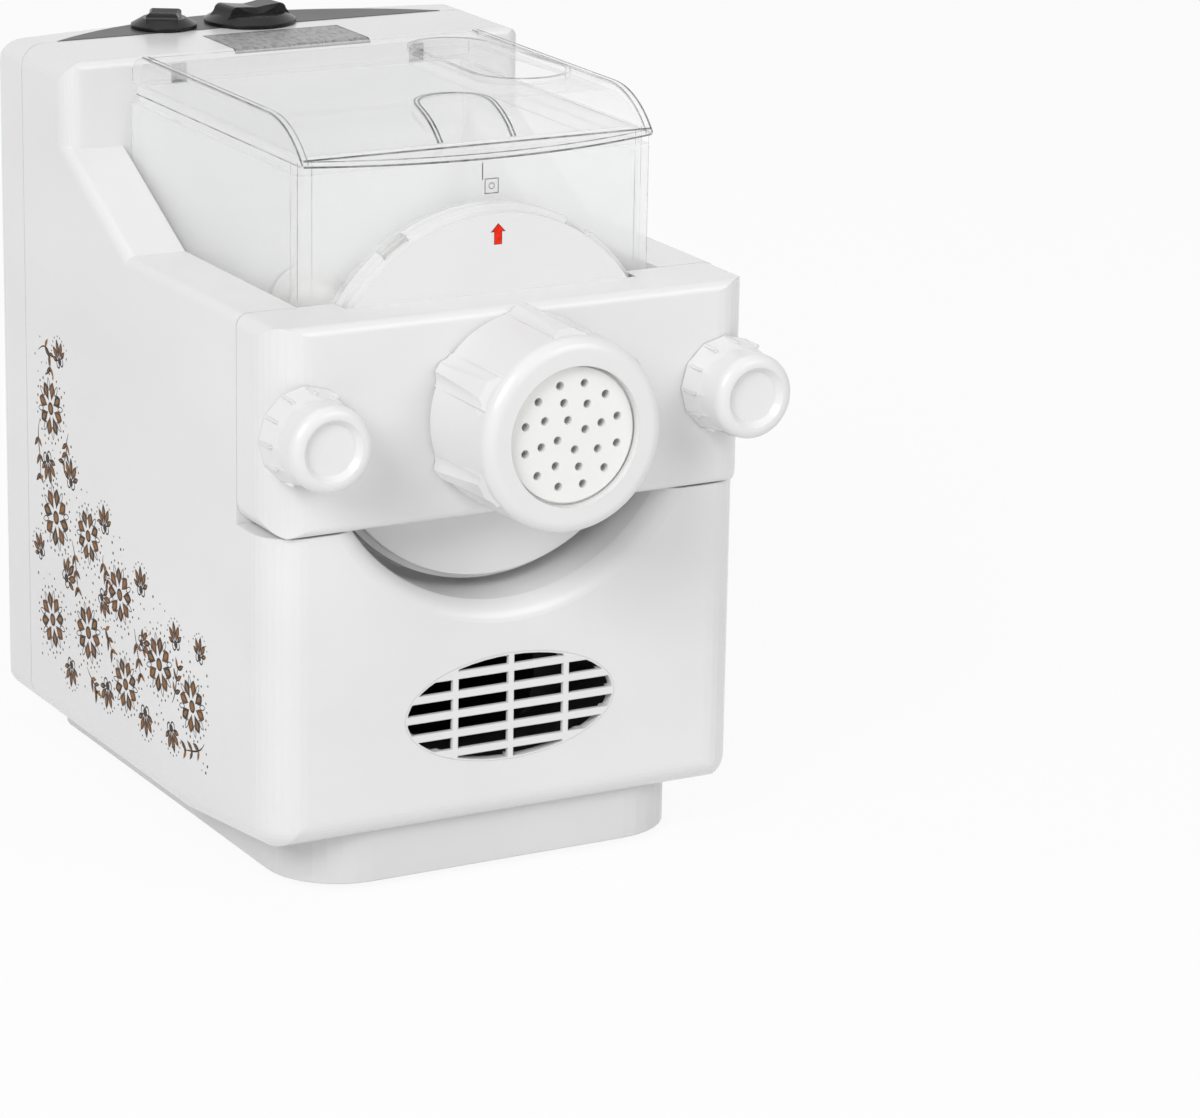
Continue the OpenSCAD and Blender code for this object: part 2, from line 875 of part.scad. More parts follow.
module gear_screws() {
    color(steel)
        for (spot = post_spots) {
            rod_y(screw_m4_r, rear_plate_y - 12, rear_plate_y + plate_t, spot[0], spot[1]);
            translate([0, plate_t, 0])
                rod_y(screw_head_r, rear_plate_y, rear_plate_y + screw_head_h, spot[0], spot[1]);
        }
}

// Ball bearing drawn as a ring with its side grooves.
module bearing(x, z, y0, y1, inner, outer) {
    difference() {
        rod_y(outer, y0, y1, x, z);
        rod_y(inner + running_gap, y0 - 1, y1 + 1, x, z);
        difference() {
            rod_y(inner + (outer - inner) * 0.7, y0 - 1, y0 + 0.5, x, z);
            rod_y(inner + (outer - inner) * 0.3, y0 - 2, y0 + 1, x, z);
        }
    }
}

module bearings() {
    color(steel) {
        bearing(0, motor_h, can_front - cap_t, can_front, motor_shaft_r, hub_r - hub_wall);
        bearing(0, motor_h, can_rear - 1, can_rear + 5, motor_shaft_r, hub_r - hub_wall);
        for (y = [plate_y, rear_plate_y]) {
            bearing(shaft_a_x, shaft_a_z, y, y + plate_t, lay_r, small_bearing_r);
            bearing(0, shaft_b_z, y, y + plate_t, lay_r, small_bearing_r);
            bearing(0, axis_h, y, y + plate_t, out_r, big_bearing_r);
        }
    }
}

module shaft_seal() {
    color(black)
        difference() {
            rod_y(seal_r, seal_front, column_y + wall, 0, axis_h);
            rod_y(out_r + running_gap, column_y - 2, column_y + 10, 0, axis_h);
        }
}

module timer_body() {
    top = body_h - wall - lens_sink;
    color(pale)
        difference() {
            union() {
                translate([timer_x - timer_body_w / 2, timer_y - 17, top - timer_body_h])
                    cube([timer_body_w, timer_body_l, timer_body_h]);
                translate([timer_x, timer_y, top]) cylinder(r = collar_r, h = lens_sink + wall / 2);
                for (x = [-12, 0, 12]) translate([timer_x + x, timer_y - 21, top - 20]) cube([5, 5, 0.8]);
            }
            spindle_hole(timer_x, timer_y);
        }
}

module selector_switch() {
    top = body_h - wall - lens_sink;
    color(black)
        difference() {
            union() {
                translate([selector_x - switch_w / 2 - 1, selector_y - switch_l / 2, top - switch_h])
                    cube([switch_w, switch_l, switch_h]);
                translate([selector_x, selector_y, top]) cylinder(r = collar_r, h = lens_sink + wall / 2);
                for (x = [-9, 0, 5]) translate([selector_x + x, selector_y - 17, top - 14]) cube([5, 5, 0.8]);
            }
            spindle_hole(selector_x, selector_y);
        }
}

module spindle_hole(x, y) {
    translate([x, y, body_h - spindle_l - 1]) cylinder(r = spindle_r + running_gap, h = 40);
}

module circuit_board() {
    color([0.1, 0.35, 0.18])
        difference() {
            translate([board_x, board_y, board_z]) cube([board_t, board_w, board_h]);
            for (spot = board_spots)
                translate([board_x - 1, spot[0], spot[1]]) rotate([0, 90, 0])
                    cylinder(r = board_hole_r, h = board_t + 2);
        }
}

module board_parts() {
    color(slate) {
        translate([board_x - 14, board_y + 6, board_z + 8]) cube([14, 18, 20]);
        translate([board_x - 20, board_y + 15, board_z + 42]) rotate([0, 90, 0]) cylinder(r = 7, h = 20);
        translate([board_x - 10, board_y + 7, board_z + 56]) cube([10, 16, 16]);
    }
}

module cord_bush() {
    color(black)
        difference() {
            rod_y(gland_r, body_l - gland_l, body_l, 0, gland_z);
            rod_y(gland_bore, 0, body_l + 1, 0, gland_z);
        }
}

module cover_screws() {
    color(steel)
        for (spot = cover_screw_spots) {
            rod_y(screw_m4_r, seam_y - cover_thread_l, cover_screw_y, spot[0], spot[1]);
            rod_y(cover_head_r, cover_screw_y, cover_screw_y + cover_head_h, spot[0], spot[1]);
        }
}

module motor_rotor() {
    color(steel)
        difference() {
            rod_y(core_r, can_front + 18, can_rear - 12, 0, motor_h);
            for (a = [0:30:330])
                translate([0, 0, motor_h]) rotate([0, a, 0])
                    translate([-1, 0, core_r - 7]) cube([2, big, 8]);
            rod_y(motor_shaft_r, 0, big, 0, motor_h);
        }
}

module commutator() {
    color([0.72, 0.42, 0.2])
        difference() {
            rod_y(commutator_r, can_front + 2, can_front + 2 + commutator_l, 0, motor_h);
            rod_y(motor_shaft_r, 0, big, 0, motor_h);
        }
}

module motor_shaft() {
    color(steel) rod_y(motor_shaft_r, fan_y - 2, gear1_y + gear1_w, 0, motor_h);
}

module motor_fan() {
    color(black)
        difference() {
            union() {
                rod_y(7, fan_y, fan_y + fan_w, 0, motor_h);
                rod_y(fan_r, fan_y + fan_w - 1.5, fan_y + fan_w, 0, motor_h);
                for (a = [0:45:315])
                    translate([0, 0, motor_h]) rotate([0, a, 0])
                        translate([-0.8, fan_y, 5]) cube([1.6, fan_w - 1, fan_r - 5.5]);
            }
            rod_y(motor_shaft_r, 0, big, 0, motor_h);
        }
}

// Involute tooth flank point at radius r on base circle rb.
function involute_angle(r, rb) = r <= rb ? 0 : sqrt(r * r / (rb * rb) - 1) * 180 / PI - acos(rb / r);

// Spur gear outline with one tooth centred on +x.
module gear_outline(teeth, m) {
    backlash = 0.12;
    rp = m * teeth / 2;
    rb = rp * cos(20);
    ra = rp + m;
    rf = rp - 1.25 * m;
    half = 90 / teeth - backlash / rp * 90 / PI + involute_angle(rp, rb);
    steps = [max(rb, rf), rp * 0.5 + max(rb, rf) * 0.5, rp + m * 0.4, ra];
    polygon([for (i = [0:teeth - 1]) each concat(
        [flank(rf, i * 360 / teeth - half)],
        [for (r = steps) flank(r, i * 360 / teeth - half + involute_angle(r, rb))],
        [for (k = [3:-1:0]) flank(steps[k], i * 360 / teeth + half - involute_angle(steps[k], rb))],
        [flank(rf, i * 360 / teeth + half)]
    )]);
}

function flank(r, a) = [r * cos(a), r * sin(a)];

// Gear at (x, z) with a tooth towards angle turn, bored for its shaft.
module gear(x, z, y, w, teeth, m, turn, bore) {
    along_y(y, y + w) translate([x, z]) difference() {
        rotate(turn) gear_outline(teeth, m);
        circle(bore);
    }
}

module motor_pinion() {
    color(steel) gear(0, motor_h, gear1_y, gear1_w, teeth_p1, module_1, angle_1, motor_shaft_r);
}

module gear_a() {
    turn = angle_1 + 180 + 180 / teeth_g1;
    color(pale) gear(shaft_a_x, shaft_a_z, gear1_y, gear1_w, teeth_g1, module_1, turn, lay_r);
}

module pinion_a() {
    color(steel) gear(shaft_a_x, shaft_a_z, gear2_y, gear2_w, teeth_p2, module_2, angle_2, lay_r);
}

module shaft_a() {
    color(steel) rod_y(lay_r, plate_y, rear_plate_y + plate_t, shaft_a_x, shaft_a_z);
}

module gear_b() {
    turn = angle_2 + 180 + 180 / teeth_g2;
    color(pale) gear(0, shaft_b_z, gear2_y, gear2_w, teeth_g2, module_2, turn, lay_r);
}

module pinion_b() {
    color(steel) gear(0, shaft_b_z, gear3_y, gear3_w, teeth_p3, module_3, 90, lay_r);
}

module shaft_b() {
    color(steel) rod_y(lay_r, plate_y, rear_plate_y + plate_t, 0, shaft_b_z);
}

module gear_out() {
    color(steel) gear(0, axis_h, gear3_y, gear3_w, teeth_g3, module_3, 270 + 180 / teeth_g3, out_r);
}

module shaft_out() {
    color(steel) {
        rod_y(out_r, seal_front, rear_plate_y + plate_t, 0, axis_h);
        translate([-drive_w / 2, drive_tip, axis_h - drive_w / 2])
            cube([drive_w, seal_front - drive_tip, drive_w]);
    }
}

module cup() {
    color(clear)
        difference() {
            union() {
                along_y(cup_front, cup_rear) u_shape(cup_r, lid_low - rim_down);
                along_y(cup_front + rim_step, cup_rear) u_shape(cup_r - rim_step, cup_top);
                rod_y(disc_r - 1, collar_front, cup_front + 1, 0, axis_h);
            }
            along_y(cup_front + cup_wall, cup_rear - cup_wall) u_shape(cup_in, lid_low - 2 * rim_down);
            along_y(cup_front + rim_step + rim_t, cup_rear - cup_wall)
                u_shape(cup_r - rim_step - rim_t, big);
            rod_y(cup_mouth_r, 0, cup_front + cup_wall + 1, 0, axis_h);
            rod_y(bush_r + seat_gap, cup_rear - cup_wall - 1, cup_rear + 1, 0, axis_h);
        }
}

module cup_bush() {
    seat = cup_rear - cup_wall;
    color(white)
        difference() {
            union() {
                rod_y(bush_r, seat, cup_rear, 0, axis_h);
                rod_y(bush_r + bush_flange, seat - bush_flange, seat, 0, axis_h);
            }
            rod_y(journal_r + running_gap, 0, big, 0, axis_h);
        }
}

lid_rear = cup_rear - 1;
lid_front = cup_front - 3;
lid_curve = 37;
lid_bow = 14;
lid_corner_r = 8;
inlet_head_r = 19;
inlet_tail_r = 16;
inlet_side = 25.5;
inlet_lean = 1.5;
inlet_front_in = 63.4;
inlet_rear_in = 37.5;
inlet_head = [cup_r - inlet_side, lid_front + inlet_front_in];
inlet_tail = [cup_r - inlet_side - inlet_lean, lid_rear - inlet_rear_in];
inlet_rim = 2;
inlet_rim_h = 1.2;

// Side outline of the lid, inset by t.
module lid_profile(t) {
    cy = lid_front + sqrt(lid_curve * lid_curve - pow(lid_curve - lid_top + lid_low, 2));
    cz = lid_top - lid_curve;
    start = 180 + asin((lid_curve - lid_top + lid_low) / lid_curve) * -1;
    polygon(concat(
        [[cy + (lid_curve - t) * cos(start), lid_low - (t > 0 ? 1 : 0)]],
        arc(cy, cz, lid_curve - t, start, 90, 14),
        arc(lid_rear - lid_corner_r, lid_top - lid_corner_r, lid_corner_r - t, 90, 0),
        [[lid_rear - t, lid_low - (t > 0 ? 1 : 0)]]
    ));
}

// Thumb scoop: a U-shaped prism above a plane that slopes down to the front.
module scoop_space(t) {
    scoop_half = 15;
    scoop_y = lid_front + 34;
    intersection() {
        translate([0, lid_front - 14, lid_low + 2.5 - t])
            rotate([15, 0, 0]) translate([-50, -60, 0]) cube([100, 200, 100]);
        linear_extrude(big) {
            translate([0, scoop_y - scoop_half]) circle(scoop_half + t);
            translate([-scoop_half - t, -60]) square([2 * (scoop_half + t), 60 + scoop_y - scoop_half]);
        }
    }
}

// Leaf outline of the water inlet, grown by t.
module inlet_plan(t) {
    tail = inlet_tail;
    head = inlet_head;
    tail_r = inlet_tail_r + t;
    head_r = inlet_head_r + t;
    gap_l = norm(tail - head);
    lean = acos((head_r - tail_r) / gap_l);
    side_in = 0.01;
    axis_a = atan2(tail[1] - head[1], tail[0] - head[0]);
    translate(head) circle(head_r);
    translate(tail) circle(tail_r);
    polygon([
        head + (head_r - side_in) * [cos(axis_a + lean), sin(axis_a + lean)],
        tail + (tail_r - side_in) * [cos(axis_a + lean), sin(axis_a + lean)],
        tail + (tail_r - side_in) * [cos(axis_a - lean), sin(axis_a - lean)],
        head + (head_r - side_in) * [cos(axis_a - lean), sin(axis_a - lean)]
    ]);
}

module lid() {
    bow_r = (cup_r * cup_r + lid_bow * lid_bow) / (2 * lid_bow);
    color(clear) {
        difference() {
            union() {
                difference() {
                    along_x(-cup_r, cup_r) lid_profile(0);
                    scoop_space(0);
                }
                translate([0, 0, lid_top - 1]) linear_extrude(1 + inlet_rim_h) inlet_plan(inlet_rim);
            }
            difference() {
                along_x(-cup_r + lid_wall, cup_r - lid_wall) lid_profile(lid_wall);
                scoop_space(lid_wall);
            }
            translate([-big / 2, lid_rear - lid_wall - 1, 0]) cube([big, big, hook_pivot_z - 3]);
            translate([0, 0, lid_top - 10]) linear_extrude(20) inlet_plan(0);
        }
        // bowed lip along the front edge
        translate([0, 0, lid_low]) linear_extrude(lid_wall)
            intersection() {
                translate([0, lid_front - lid_bow + bow_r]) circle(bow_r, $fn = 160);
                translate([-cup_r, -50]) square([2 * cup_r, 50 + lid_front + 3]);
            }
        hook_spots() hook();
    }
}

// Tongue that enters the column's slot and turns there.
module hook() {
    along_x(-hook_w / 2, hook_w / 2) {
        translate([hook_pivot_y, hook_pivot_z]) circle(hook_r);
        translate([lid_rear - lid_wall, hook_pivot_z - hook_half])
            square([hook_pivot_y + hook_len - lid_rear + lid_wall, 2 * hook_half]);
    }
}

peg_r = 5;
peg_first = cup_front + 26;
peg_last = cup_rear - 29.9;
peg_step = (peg_last - peg_first) / 4;

module mixing_rod() {
    rod_r = 10;
    tip = cup_in - 3;
    paddle_t = 6;
    paddle_w = 20;
    paddle_h = 10;
    color(white)
        difference() {
            union() {
                rod_y(journal_r, cup_rear - journal_l, cup_rear - 0.4, 0, axis_h);
                rod_y(rod_r, cup_front + drive_end_l, cup_rear - journal_l, 0, axis_h);
                rod_y(drive_end_r, cup_front + 2, cup_front + drive_end_l, 0, axis_h);
                for (i = [0:4]) {
                    side = i % 2 == 0 ? 0 : 180;
                    translate([0, peg_first + i * peg_step, axis_h]) rotate([0, 90 + side, 0]) {
                        cylinder(r = peg_r, h = tip - 0.6 * paddle_h);
                        translate([0, 0, tip - 0.9 * paddle_h])
                            cube([paddle_t, paddle_w, paddle_h], center = true);
                    }
                }
            }
            translate([-drive_w / 2 - drive_gap, drive_tip - 1, axis_h - drive_w / 2 - drive_gap])
                cube([drive_w + 2 * drive_gap, 60, drive_w + 2 * drive_gap]);
        }
}

module extrusion_screw() {
    turns = 3.2;
    screw_rear = cup_front + drive_end_l;
    screw_front = barrel_front + 4;
    length = screw_rear - screw_front;
    color(white)
        difference() {
            union() {
                rod_y(screw_core_r, screw_front + 2, screw_rear, 0, axis_h);
                translate([0, screw_rear, axis_h]) rotate([90, 0, 0])
                    linear_extrude(length, twist = -360 * turns, slices = 54, $fn = 24)
                        intersection() {
                            circle(screw_r, $fn = 72);
                            translate([0, -5]) square([screw_r, 10]);
                        }
            }
            rod_y(drive_end_r, cup_front + 1, screw_rear + 1, 0, axis_h);
        }
}

module front_cover() {
    notch = 12;
    rim_r = disc_r - 2.6;
    thread_pitch = 5;
    groove = [plug_r + 1.5, disc_r - 2.5];
    color(white)
        difference() {
            union() {
                rod_y(rim_r, disc_front, disc_rear, 0, axis_h);
                rod_y(disc_r, disc_front + disc_step, disc_rear, 0, axis_h);
                rod_y(plug_r, disc_rear, cup_front + cup_wall, 0, axis_h);
                rod_y(barrel_out, barrel_front, disc_front + 1, 0, axis_h);
                for (i = [0:4])
                    translate([0, barrel_front + 2 + i * thread_pitch, 0])
                        rod_y(thread_r, 0, thread_pitch / 2, 0, axis_h);
            }
            rod_y(barrel_r, -100, 100, 0, axis_h);
            // hollow back of the plug
            difference() {
                rod_y(plug_r - 5, disc_rear - 4, 100, 0, axis_h);
                rod_y(barrel_out + 3, 0, 101, 0, axis_h);
            }
            // notches in the rim
            for (a = [33, -33])
                translate([0, disc_front, axis_h]) rotate([0, a, 0])
                    translate([-notch / 2, disc_step - 0.5, disc_r - 4]) cube([notch, 20, 10]);
            // groove of the seal
            difference() {
                rod_y(groove[1], disc_rear - 1, disc_rear + 1, 0, axis_h);
                rod_y(groove[0], 0, 100, 0, axis_h);
            }
        }
}

module cover_seal() {
    color(pale)
        difference() {
            rod_y(disc_r - 2.5, disc_rear - 1, disc_rear + 1.5, 0, axis_h);
            rod_y(plug_r + 1.5, 0, 100, 0, axis_h);
        }
}

// Outer form of the clamp panel, inset by t.
module panel_form(t) {
    edge = 4;
    low_r = 9;
    high_r = 5;
    intersection() {
        along_y(t, panel_t)
            round_rect(-half_w + t, panel_low + t, half_w - t, panel_low + panel_h - t,
                       low_r - t, high_r - t);
        linear_extrude(big)
            round_rect(-half_w + t, t, half_w - t, big, front_corner_r - t, 1);
        along_x(-half_w, half_w)
            polygon(concat(
                arc(edge, panel_low + edge, edge - t, -90, -180),
                arc(edge, panel_low + panel_h - edge, edge - t, 180, 90),
                [[big, panel_low + panel_h - t], [big, panel_low + t]]
            ));
    }
}

module clamp_panel() {
    ring_r = thread_r + part_gap;
    color(white)
        difference() {
            union() {
                difference() {
                    panel_form(0);
                    translate([0, 1, 0]) panel_form(wall);
                }
                intersection() {
                    panel_form(0);
                    union() {
                        for (x = [-knob_x, knob_x]) rod_y(stud_r + 4.5, 1, panel_t, x, axis_h);
                        rod_y(ring_r + 4, 1, disc_front, 0, axis_h);
                        for (a = [0:45:315])
                            translate([0, 1, axis_h]) rotate([0, a, 0])
                                translate([-1, 0, ring_r]) cube([2, disc_front - 1, 40]);
                    }
                }
            }
            rod_y(ring_r, -1, big, 0, axis_h);
            rod_y(disc_r + 0.5, disc_front, big, 0, axis_h);
            for (x = [-knob_x, knob_x]) rod_y(stud_r + part_gap, -1, big, x, axis_h);
        }
}

module die() {
    noodle_r = 1.6;
    color(white)
        difference() {
            union() {
                rod_y(thread_r - 1, die_y, die_y + die_t - part_gap, 0, axis_h);
                rod_y(nut_mouth - 1, die_y - 1.4, die_y, 0, axis_h);
            }
            for (ring = [[6, 4], [13, 8], [20, 12]], i = [0:ring[1] - 1])
                rod_y(noodle_r, die_y - 10, die_y + 10,
                      ring[0] * cos(360 * i / ring[1] + 15), axis_h + ring[0] * sin(360 * i / ring[1] + 15));
        }
}

module die_nut() {
    nut_front_r = nut_r - 1;
    ridge = 2.8;
    edge = 5;
    rear_edge = 1.5;
    color(white)
        difference() {
            union() {
                revolve_y() polygon(concat(
                    [[0, -part_gap], [nut_r - rear_edge, -part_gap], [nut_r, -part_gap - rear_edge]],
                    arc(nut_front_r - edge, -nut_len + edge, edge, 0, -90, 8),
                    [[0, -nut_len]]
                ));
                for (a = [0:60:300]) nut_ridge(a, ridge);
            }
            rod_y(nut_mouth, -100, 1, 0, axis_h);
            rod_y(nut_bore, -nut_len + nut_lip, 1, 0, axis_h);
        }
}

// Grip ridge at angle a with hollow flanks, highest at the nut's base and running out forward.
module nut_ridge(a, ridge) {
    half = 7;
    crown_r = 9;
    flank_r = 6;
    flank_x = 7.3;
    flank_z = sqrt(pow(nut_r + flank_r - 0.1, 2) - flank_x * flank_x);
    translate([0, 0, axis_h]) rotate([0, a, 0])
        intersection() {
            along_y(-nut_len, -part_gap) difference() {
                intersection() {
                    translate([-half, nut_r - 4]) square([2 * half, 4 + ridge]);
                    translate([0, nut_r + ridge - crown_r]) circle(crown_r);
                }
                for (side = [-1, 1]) translate([side * flank_x, flank_z]) circle(flank_r);
            }
            along_x(-half - 1, half + 1)
                polygon([
                    [-part_gap, nut_r - 4], [-part_gap, nut_r + ridge - 1], [-2, nut_r + ridge + 0.1],
                    [-nut_len + 10, nut_r + 0.6], [-nut_len + 5, nut_r - 1.6], [-nut_len + 5, nut_r - 4]
                ]);
        }
}

// Threaded hand knob: round front with a dimple, and flats with thin ribs round its rear part.
module clamp_knob(x) {
    face_r = knob_r - 1.5;
    edge = 4;
    dimple_r = 9.8;
    dimple_h = 2.5;
    flats = 12;
    flat_l = knob_len * 0.62;
    rear_r = knob_r + 1;
    rib_w = 1.2;
    rib_l = knob_len * 0.36;
    washer_seat = 1.8;
    color(white)
        difference() {
            union() {
                revolve_y(x) polygon(concat(
                    [[0, -part_gap], [face_r, -part_gap]],
                    arc(face_r - edge, -knob_len + edge, edge, 0, -90, 8),
                    [[0, -knob_len]]
                ));
                translate([x, -part_gap, axis_h]) rotate([90, 0, 0])
                    cylinder(r1 = rear_r, r2 = face_r - 0.2, h = flat_l, $fn = flats);
                for (i = [0:flats - 1])
                    translate([x, 0, axis_h]) rotate([0, i * 360 / flats, 0])
                        translate([-rib_w / 2, -part_gap - rib_l, face_r - 2])
                            cube([rib_w, rib_l, rear_r - face_r + 1.8]);
            }
            translate([x, -knob_len - 0.5, axis_h]) rotate([-90, 0, 0])
                cylinder(r1 = dimple_r + 2.5, r2 = dimple_r, h = dimple_h + 0.5);
            rod_y(stud_r + running_gap, -knob_len + 8, 1, x, axis_h);
            rod_y(10, -washer_seat - part_gap, 1, x, axis_h);
        }
}

module washer(x) {
    color(steel)
        difference() {
            rod_y(9, -1.8, -part_gap, x, axis_h);
            rod_y(stud_r + part_gap, -5, 5, x, axis_h);
        }
}

module washer_l() {
    washer(-knob_x);
}

module washer_r() {
    washer(knob_x);
}

module clamp_knob_l() {
    clamp_knob(-knob_x);
}

module clamp_knob_r() {
    clamp_knob(knob_x);
}

// Control knob: flared skirt with an upright finger grip.
module control_knob(x, y, r, height, turn) {
    low = body_h + lens_rise + part_gap;
    top = body_h + height;
    grip_w = 13;
    skirt = 2.6;
    color(black)
        translate([x, y, 0]) {
            translate([0, 0, low]) cylinder(r = r, h = 1.2);
            translate([0, 0, low + 1.2]) cylinder(r1 = r, r2 = r - 4.5, h = skirt);
            rotate(turn) translate([-r + 2.5, -grip_w / 2, low + 1.2])
                grip(2 * r - 5, grip_w, top - low - 1.2);
            translate([0, 0, body_h - spindle_l]) cylinder(r = spindle_r, h = spindle_l + 2);
        }
}

// Finger grip with sloping ends and a waist.
module grip(length, width, height) {
    difference() {
        rotate([90, 0, 0]) translate([0, 0, -width]) linear_extrude(width)
            polygon(concat(
                [[0, 0]],
                arc(6, height - 3, 3, 170, 90, 4),
                [[length / 2, height - 1.2]],
                arc(length - 6, height - 3, 3, 90, 10, 4),
                [[length, 0]]
            ));
        for (side = [-1, 1])
            translate([length / 2, width / 2 + side * (width / 2 + 24), 1])
                cylinder(r1 = 23, r2 = 26.5, h = height);
    }
}

module selector_knob() {
    control_knob(selector_x, selector_y, selector_r, control_h - 1, 60);
}

module timer_knob() {
    control_knob(timer_x, timer_y, timer_r, control_h, 8);
}

place() housing();
place() rear_cover();
place() base_tray();
place() feet();
place() control_plate();
place() grille();
place() air_duct();
place() slot_frames();
place() interlock_switches();
place() studs();
place() stud_nuts();
place() motor_can();
place() motor_cap();
place() magnets();
place() brushes();
place() gear_plate_front();
place() gear_plate_rear();
place() gear_posts();
place() gear_screws();
place() bearings();
place() shaft_seal();
place() timer_body();
place() selector_switch();
place() circuit_board();
place() board_parts();
place() cord_bush();
place() cover_screws();
place() motor_rotor();
place() commutator();
place() motor_shaft();
place() motor_fan();
place() motor_pinion();
place() gear_a();
place() pinion_a();
place() shaft_a();
place() gear_b();
place() pinion_b();
place() shaft_b();
place() gear_out();
place() shaft_out();
place() cup();
place() cup_bush();
place() lid();
place() mixing_rod();
place() extrusion_screw();
place() front_cover();
place() cover_seal();
place() clamp_panel();
place() die();
place() die_nut();
place() washer_l();
place() washer_r();
place() clamp_knob_l();
place() clamp_knob_r();
place() selector_knob();
place() timer_knob();
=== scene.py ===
import math
import random

import bpy
from mathutils import Matrix, Vector


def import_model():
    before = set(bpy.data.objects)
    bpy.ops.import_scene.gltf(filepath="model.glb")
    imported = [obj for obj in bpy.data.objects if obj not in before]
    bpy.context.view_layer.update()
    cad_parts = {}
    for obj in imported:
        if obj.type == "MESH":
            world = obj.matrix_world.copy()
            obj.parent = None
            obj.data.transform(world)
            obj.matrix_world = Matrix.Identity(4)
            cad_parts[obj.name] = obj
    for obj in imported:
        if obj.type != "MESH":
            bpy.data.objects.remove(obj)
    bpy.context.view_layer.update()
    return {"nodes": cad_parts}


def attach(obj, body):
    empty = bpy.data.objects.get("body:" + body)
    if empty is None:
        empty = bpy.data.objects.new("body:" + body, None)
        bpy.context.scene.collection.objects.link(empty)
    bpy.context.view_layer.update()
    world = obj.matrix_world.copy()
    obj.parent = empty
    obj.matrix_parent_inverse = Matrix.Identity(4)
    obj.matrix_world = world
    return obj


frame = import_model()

# Sizes of the drawing in mm: x across, y backwards from the clamp panel's front face, z up.
MM = 0.001
SHIFT = -112.5           # from drawing depth to the centred frame's y
SIDE_X = 102.5           # outer faces of the housing's sides
CUP_HALF, CUP_FRONT = 75.0, 36.6      # half the hopper's width, and its front face
DISC_FRONT = 22.0        # front face of the cover disc
COLUMN_FRONT, COLUMN_TOP, COLUMN_EDGE = 191.5, 293.0, 3.5      # the last is a radius


# ---------------------------------------------------------------- materials

class Shader:
    """A Principled material with helpers for the textures that feed it."""

    def __init__(self, name, roughness, **sockets):
        self.mat = bpy.data.materials.new(name)
        self.mat.use_nodes = True
        self.tree = self.mat.node_tree
        self.bsdf = self.tree.nodes["Principled BSDF"]
        self.bsdf.inputs["Roughness"].default_value = roughness
        for key, value in sockets.items():
            self.bsdf.inputs[key.replace("_", " ")].default_value = value
        self.coord = self.tree.nodes.new("ShaderNodeTexCoord").outputs["Object"]

    def node(self, kind, **inputs):
        """Add a node; each input is an output to link or a value to set."""
        made = self.tree.nodes.new(kind)
        for key, value in inputs.items():
            socket = made.inputs[key.replace("_", " ")]
            if isinstance(value, bpy.types.NodeSocket):
                self.tree.links.new(value, socket)
            else:
                socket.default_value = value
        return made

    def link(self, out, key):
        self.tree.links.new(out, self.bsdf.inputs[key])

    def scaled(self, x, y, z):
        made = self.node("ShaderNodeMapping", Vector=self.coord)
        made.inputs["Scale"].default_value = (x, y, z)
        return made.outputs["Vector"]

    def noise(self, scale, detail=2.0, rough=0.5, vector=None):
        """Noise between 0 and 1 at a scale per metre."""
        return self.node("ShaderNodeTexNoise", Vector=vector or self.coord, Scale=scale,
                         Detail=detail, Roughness=rough).outputs["Fac"]

    def ramp(self, fac, stops, colors):
        """Colours that blend from stop to stop of a factor."""
        made = self.node("ShaderNodeValToRGB", Fac=fac)
        ramp = made.color_ramp
        while len(ramp.elements) < len(stops):
            ramp.elements.new(0.5)
        for element, stop, color in zip(ramp.elements, stops, colors):
            element.position = stop
            element.color = (*color, 1.0)
        return made.outputs["Color"]

    def levels(self, fac, low, high, start=0.3, end=0.7):
        """Map a factor from start..end onto low..high."""
        made = self.node("ShaderNodeMapRange", Value=fac)
        for key, value in (("From Min", start), ("From Max", end),
                           ("To Min", low), ("To Max", high)):
            made.inputs[key].default_value = value
        return made.outputs["Result"]

    def bump(self, height, strength, distance, normal=None):
        made = self.node("ShaderNodeBump", Height=height, Strength=strength, Distance=distance)
        if normal is not None:
            self.tree.links.new(normal, made.inputs["Normal"])
        return made.outputs["Normal"]

    def soft_edges(self, radius):
        """A normal that rounds sharp edges by a radius in metres."""
        made = self.tree.nodes.new("ShaderNodeBevel")
        made.samples = 4
        made.inputs["Radius"].default_value = radius
        return made.outputs["Normal"]


def moulded(name, color, roughness, grain=0.02, tint=0.03, **sockets):
    """Injection-moulded plastic: faint flow mottling, orange-peel surface and softened edges."""
    s = Shader(name, roughness, **sockets)
    flow = s.noise(9.0, 3.0, vector=s.scaled(1.0, 0.7, 1.6))
    dark = tuple(c * (1 - tint) for c in color)
    light = tuple(min(c * (1 + tint), 1.0) for c in color)
    s.link(s.ramp(flow, (0.3, 0.7), (dark, light)), "Base Color")
    s.link(s.levels(s.noise(38.0, 4.0), roughness - 0.03, roughness + 0.03), "Roughness")
    s.link(s.bump(s.noise(1400.0, 2.0), grain, 0.0002, s.soft_edges(0.0006)), "Normal")
    return s.mat


